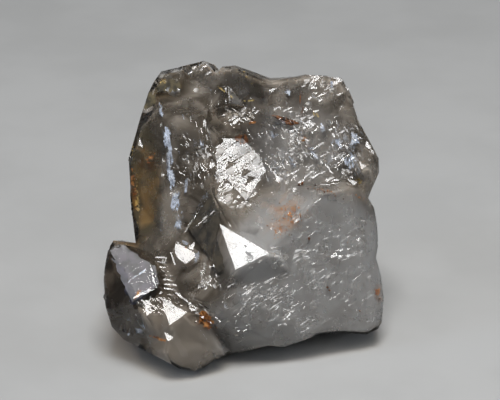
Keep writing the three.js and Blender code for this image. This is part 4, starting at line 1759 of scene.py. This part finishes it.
OLIVE_FILMS = (
    Film((-15.0, 55.9), (3.6, 1.6), 14, -0.06, 0.7, 1.6),
    Film((-18.7, 53.6), (1.2, 3.6), -22, -0.06, 0.5, 1.2),
)
BROWN_FILMS = (
    Film((-0.5, 45.1), (1.7, 1.0), -10, -0.14, 0.9, 0.9),
    Film((7.9, 49.1), (2.2, 0.3), -14, 0.05, 0.35, 0.5),
)
YELLOW_FILMS = (
    Film((-0.4, 58.6), (4.4, 0.12), -17, 0.15, 0.35, 0.8),
    Film((0.9, 57.3), (4.8, 0.1), -16, 0.2, 0.3, 0.8),
    Film((1.6, 56.1), (4.2, 0.1), -15, 0.2, 0.25, 0.7),
    Film((2.0, 54.9), (3.4, 0.08), -14, 0.2, 0.2, 0.7),
    Film((-4.7, 55.2), (1.6, 0.25), -35, 0.05, 0.5, 0.5),
    Film((-2.6, 53.6), (1.0, 0.2), -30, 0.05, 0.4, 0.5),
    Film((1.2, 52.8), (1.4, 0.2), 4, 0.0, 0.6, 0.5),
    Film((13.6, 50.4), (0.25, 1.0), 20, 0.1, 0.4, 0.4),
    Film((14.4, 49.8), (0.2, 0.9), 25, 0.1, 0.4, 0.4),
    Film((22.8, 36.8), (2.0, 0.8), -25, 0.3, 0.1, 0.6),
    Film((-21.6, 33.0), (0.7, 6.0), 4, 0.5, 0.1, 0.8),
    Film((-22.6, 45.0), (0.6, 5.0), -6, 0.5, 0.1, 0.8),
    Film((-16.4, 56.6), (2.0, 1.0), 50, 0.5, 0.1, 0.8),
)
# healed cracks, partly painted reflection: the long streaks on the left and the three small ovals low on the
# left paint bluish sheen and glints
PALE_FILMS = (
    Film((-15.2, 43.6), (0.95, 4.6), 6, 0.4, 0.55, 0.6, 4.0),
    Film((-14.6, 38.0), (0.8, 3.4), 4, 0.5, 0.4, 0.6, 4.0),
    Film((-16.8, 50.8), (0.4, 2.6), 14, 0.4, 0.3, 0.5, 4.0),
    Film((-13.8, 32.6), (1.1, 2.8), -10, 0.5, 0.4, 0.5, 3.0),
    Film((-13.0, 28.6), (1.0, 2.4), -16, 0.5, 0.35, 0.5, 3.0),
    Film((-11.6, 35.6), (0.5, 3.0), -4, 0.6, 0.1, 0.5, 3.0),
    Film((-9.0, 44.6), (0.5, 3.2), 24, 0.6, 0.1, 0.5, 4.0),
    Film((20.6, 40.8), (1.8, 2.0), 10, 0.3, 0.35, 0.5, 2.0),
    Film((21.8, 45.2), (1.6, 2.0), 30, 0.3, 0.3, 0.5, 2.0),
    Film((18.4, 44.4), (0.7, 2.4), 20, 0.4, 0.1, 0.5, 3.0),
    Film((15.2, 47.4), (0.8, 1.2), 20, 0.4, 0.3, 0.5, 2.0),
    Film((17.4, 56.0), (0.7, 1.2), 10, 0.3, 0.3, 0.5, 2.0),
    Film((8.6, 54.2), (0.8, 1.0), 0, 0.4, 0.2, 0.5, 2.0),
    Film((5.8, 45.8), (1.0, 1.2), 20, 0.3, 0.2, 0.5, 2.0),
    Film((13.4, 42.6), (0.6, 3.6), 38, 0.4, 0.05, 0.4, 4.0),
    Film((9.4, 40.2), (0.6, 3.0), 30, 0.5, 0.0, 0.4, 4.0),
    Film((-20.8, 18.4), (3.6, 0.16), 34, 0.1, 0.3, 0.8),
    Film((-22.6, 16.8), (0.14, 3.0), -20, 0.1, 0.2, 0.8),
    Film((-20.6, 7.4), (1.0, 0.6), -30, 0.3, 0.5, 0.6, 1.5),
    Film((-22.6, 6.6), (0.6, 0.4), -10, 0.3, 0.5, 0.6, 1.5),
    Film((-22.8, 9.6), (0.5, 0.3), 0, 0.3, 0.5, 0.6, 1.5),
)

LEFT_FACE = ((-26.6, 23.0), (-24.2, 24.0), (-17.6, 19.8), (-16.8, 16.6), (-21.4, 12.7))
LEFT_EDGE = ((-26.2, 21.8), (-24.2, 20.2), (-21.8, 15.6), (-21.2, 12.8), (-22.0, 12.7), (-24.3, 17.2))
SHOULDER = (
    (-6.5, 34.2), (-4.8, 28.6), (-5.6, 25.6), (-3.7, 19.8),
    (-5.2, 18.8), (-7.4, 22.2), (-9.4, 25.0), (-11.5, 27.6),
)
# painted reflection: dark violet sheets under the low left crystal's face and along its left edge stand in
# for the bluish sheen those faces reflect
PAINTED_REFLECTION_VEILS = (Veil(LEFT_FACE, 0.25, 0.25), Veil(LEFT_EDGE, -0.05, 0.7))
# smoky colour with painted shade: a dark sheet under the dark shoulder's shadowed left face and the dark
# band left of the big facet
SMOKY_AND_SHADE_VEILS = (Veil(SHOULDER, 0.25, 0.3),)

MINERALS = (
    PlainMineral("iron_orange", (0.20, 0.065, 0.015), (0.56, 0.26, 0.08), 0.7),
    PlainMineral("iron_brown", (0.02, 0.008, 0.004), (0.22, 0.075, 0.015), 0.45),
    PlainMineral("iron_yellow", (0.22, 0.15, 0.05), (0.55, 0.42, 0.16), 0.6),
    # healed cracks, and painted bluish sheen and glints on the left
    PlainMineral("healed_crack", (0.26, 0.30, 0.38), (0.66, 0.73, 0.86), 0.3),
    PlainMineral("iron_olive", (0.025, 0.020, 0.008), (0.13, 0.10, 0.045), 0.7, 700.0),
    # painted reflection: the finish of the violet sheets under the low left crystal
    PlainMineral("violet_veil", (0.008, 0.009, 0.016), (0.06, 0.052, 0.075), 0.4, 380.0),
    # smoky colour with painted shade: the finish of the dark shoulder's sheet
    PlainMineral("smoky_veil", (0.022, 0.016, 0.009), (0.085, 0.066, 0.038), 0.5, 500.0),
)
SEALED = (
    SealedFilms("iron_films", "iron_orange", ORANGE_FILMS),
    SealedFilms("iron_crust", "iron_olive", OLIVE_FILMS),
    SealedFilms("iron_hollows", "iron_brown", BROWN_FILMS),
    SealedFilms("iron_streaks", "iron_yellow", YELLOW_FILMS),
    # healed cracks with painted bluish sheen and glints
    SealedFilms("healed_cracks", "healed_crack", PALE_FILMS),
    # painted reflection: violet sheets under the low left crystal's face and left edge
    SealedFilms("violet_veil", "violet_veil", PAINTED_REFLECTION_VEILS),
    # smoky colour with painted shade on the dark shoulder's left face
    SealedFilms("smoky_veil", "smoky_veil", SMOKY_AND_SHADE_VEILS),
)


# ---------------------------------------------------------------------------
# Floor, lights and camera
# ---------------------------------------------------------------------------
FLOOR_PAINT = PlainMineral("floor_paint", (0.52, 0.515, 0.50), (0.56, 0.555, 0.54), 0.7, 30.0)
SQUARE = ((-1, -1), (1, -1), (1, 1), (-1, 1))


@dataclass(frozen=True)
class Lamp:
    """One softbox that faces the stone, with its way in the face frame and its sizes in metres."""

    name: str
    way: Triple
    far: float
    size: Pair
    power: float
    colour: Triple = (1.0, 1.0, 1.0)

    def build(self, target: Vector) -> None:
        """Place the softbox.

        Args:
            target: The place that it faces.
        """
        data = bpy.data.lights.new(self.name, "AREA")
        data.color = self.colour
        data.shape = "RECTANGLE"
        data.size, data.size_y = self.size
        data.energy = self.power
        way = np.array(self.way)
        heading = Vector(FACE.turn(way / np.linalg.norm(way)))
        turn = heading.to_track_quat("Z", "Y").to_matrix().to_4x4()
        put_in(self.name, data).matrix_world = Matrix.Translation(target + heading * self.far) @ turn


@dataclass(frozen=True)
class Studio:
    """A plain pale floor, soft lights and the camera."""

    look_at: Triple = (1.0, 33.0, 0.0)
    light_at: Triple = (0.0, 28.0, 4.0)
    distance: float = 520.0
    lens: float = 187.2
    sensor: float = 36.0
    clip: Pair = (0.01, 20.0)
    floor_reach: float = 2.5
    room_grey: Triple = (0.90, 0.95, 1.0)
    room_strength: float = 0.14
    lamps: tuple[Lamp, ...] = (
        Lamp("key_softbox", (0.016, 0.797, 0.606), 0.55, (0.24, 0.20), 2.5),
        Lamp("left_fill", (-0.85, 0.25, 0.45), 0.8, (0.17, 0.24), 0.64, (0.66, 0.79, 1.0)),
        Lamp("right_fill", (0.9, 0.2, 0.3), 0.9, (0.2, 0.28), 0.8, (0.74, 0.84, 1.0)),
    )

    def build(self) -> None:
        """Build the floor, the camera, the surroundings and the lamps."""
        self._floor()
        self._camera()
        self._surroundings()
        bpy.context.scene.view_settings.view_transform = "Standard"
        for lamp in self.lamps:
            lamp.build(Vector(FACE.place(np.array(self.light_at))))

    def _floor(self) -> None:
        """Build the floor."""
        corners = [(x * self.floor_reach, y * self.floor_reach, 0.0) for x, y in SQUARE]
        floor = mesh_object("studio_floor", corners, [(0, 1, 2, 3)])
        floor.data.materials.append(FLOOR_PAINT.make())

    def _camera(self) -> None:
        """Place the camera square to the leaning face."""
        data = bpy.data.cameras.new("camera")
        data.lens = self.lens
        data.sensor_width = self.sensor
        data.clip_start, data.clip_end = self.clip
        axes = FACE.turn(np.eye(3))
        spot = FACE.place(np.array(self.look_at)) + axes[2] * self.distance * MM
        turn = Matrix([axes[0], axes[1], axes[2]]).transposed().to_4x4()
        camera = put_in("camera", data)
        camera.matrix_world = Matrix.Translation(Vector(spot)) @ turn
        bpy.context.scene.camera = camera

    def _surroundings(self) -> None:
        """Light the room with one soft grey."""
        world = bpy.data.worlds.new("room")
        world.use_nodes = True
        background = world.node_tree.nodes["Background"]
        background.inputs["Color"].default_value = (*self.room_grey, 1.0)
        background.inputs["Strength"].default_value = self.room_strength
        bpy.context.scene.world = world


def place_piece(piece: Thing, replaced: bool = False) -> None:
    """Ride a piece on the body, and hide the frame's node when the piece stands for it.

    Args:
        piece: The finished piece.
        replaced: Whether it stands for the frame's node.
    """
    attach(piece, BODY)
    if replaced:
        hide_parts(NODE)
    LOG.info("%s: %d faces", piece.name, len(piece.data.polygons))


def main() -> None:
    """Build the stone, what is sealed in it, and the studio."""
    logging.basicConfig(level=logging.INFO, format="%(name)s %(message)s")
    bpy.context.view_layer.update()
    noise.seed_set(NOISE_SEED)
    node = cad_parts[NODE]
    Studio().build()
    place_piece(ClearBody(node).build(ClearQuartz().make()), replaced=True)
    place_piece(MilkyHeart(node).build(MilkyQuartz().make()))
    probe = Probe(node)
    made = {mineral.name: mineral.make() for mineral in MINERALS}
    for films in SEALED:
        place_piece(films.build(probe, made[films.finish]))
    place_piece(IronNeedles().build(probe, made["iron_brown"]))


if __name__ == "__main__":
    main()
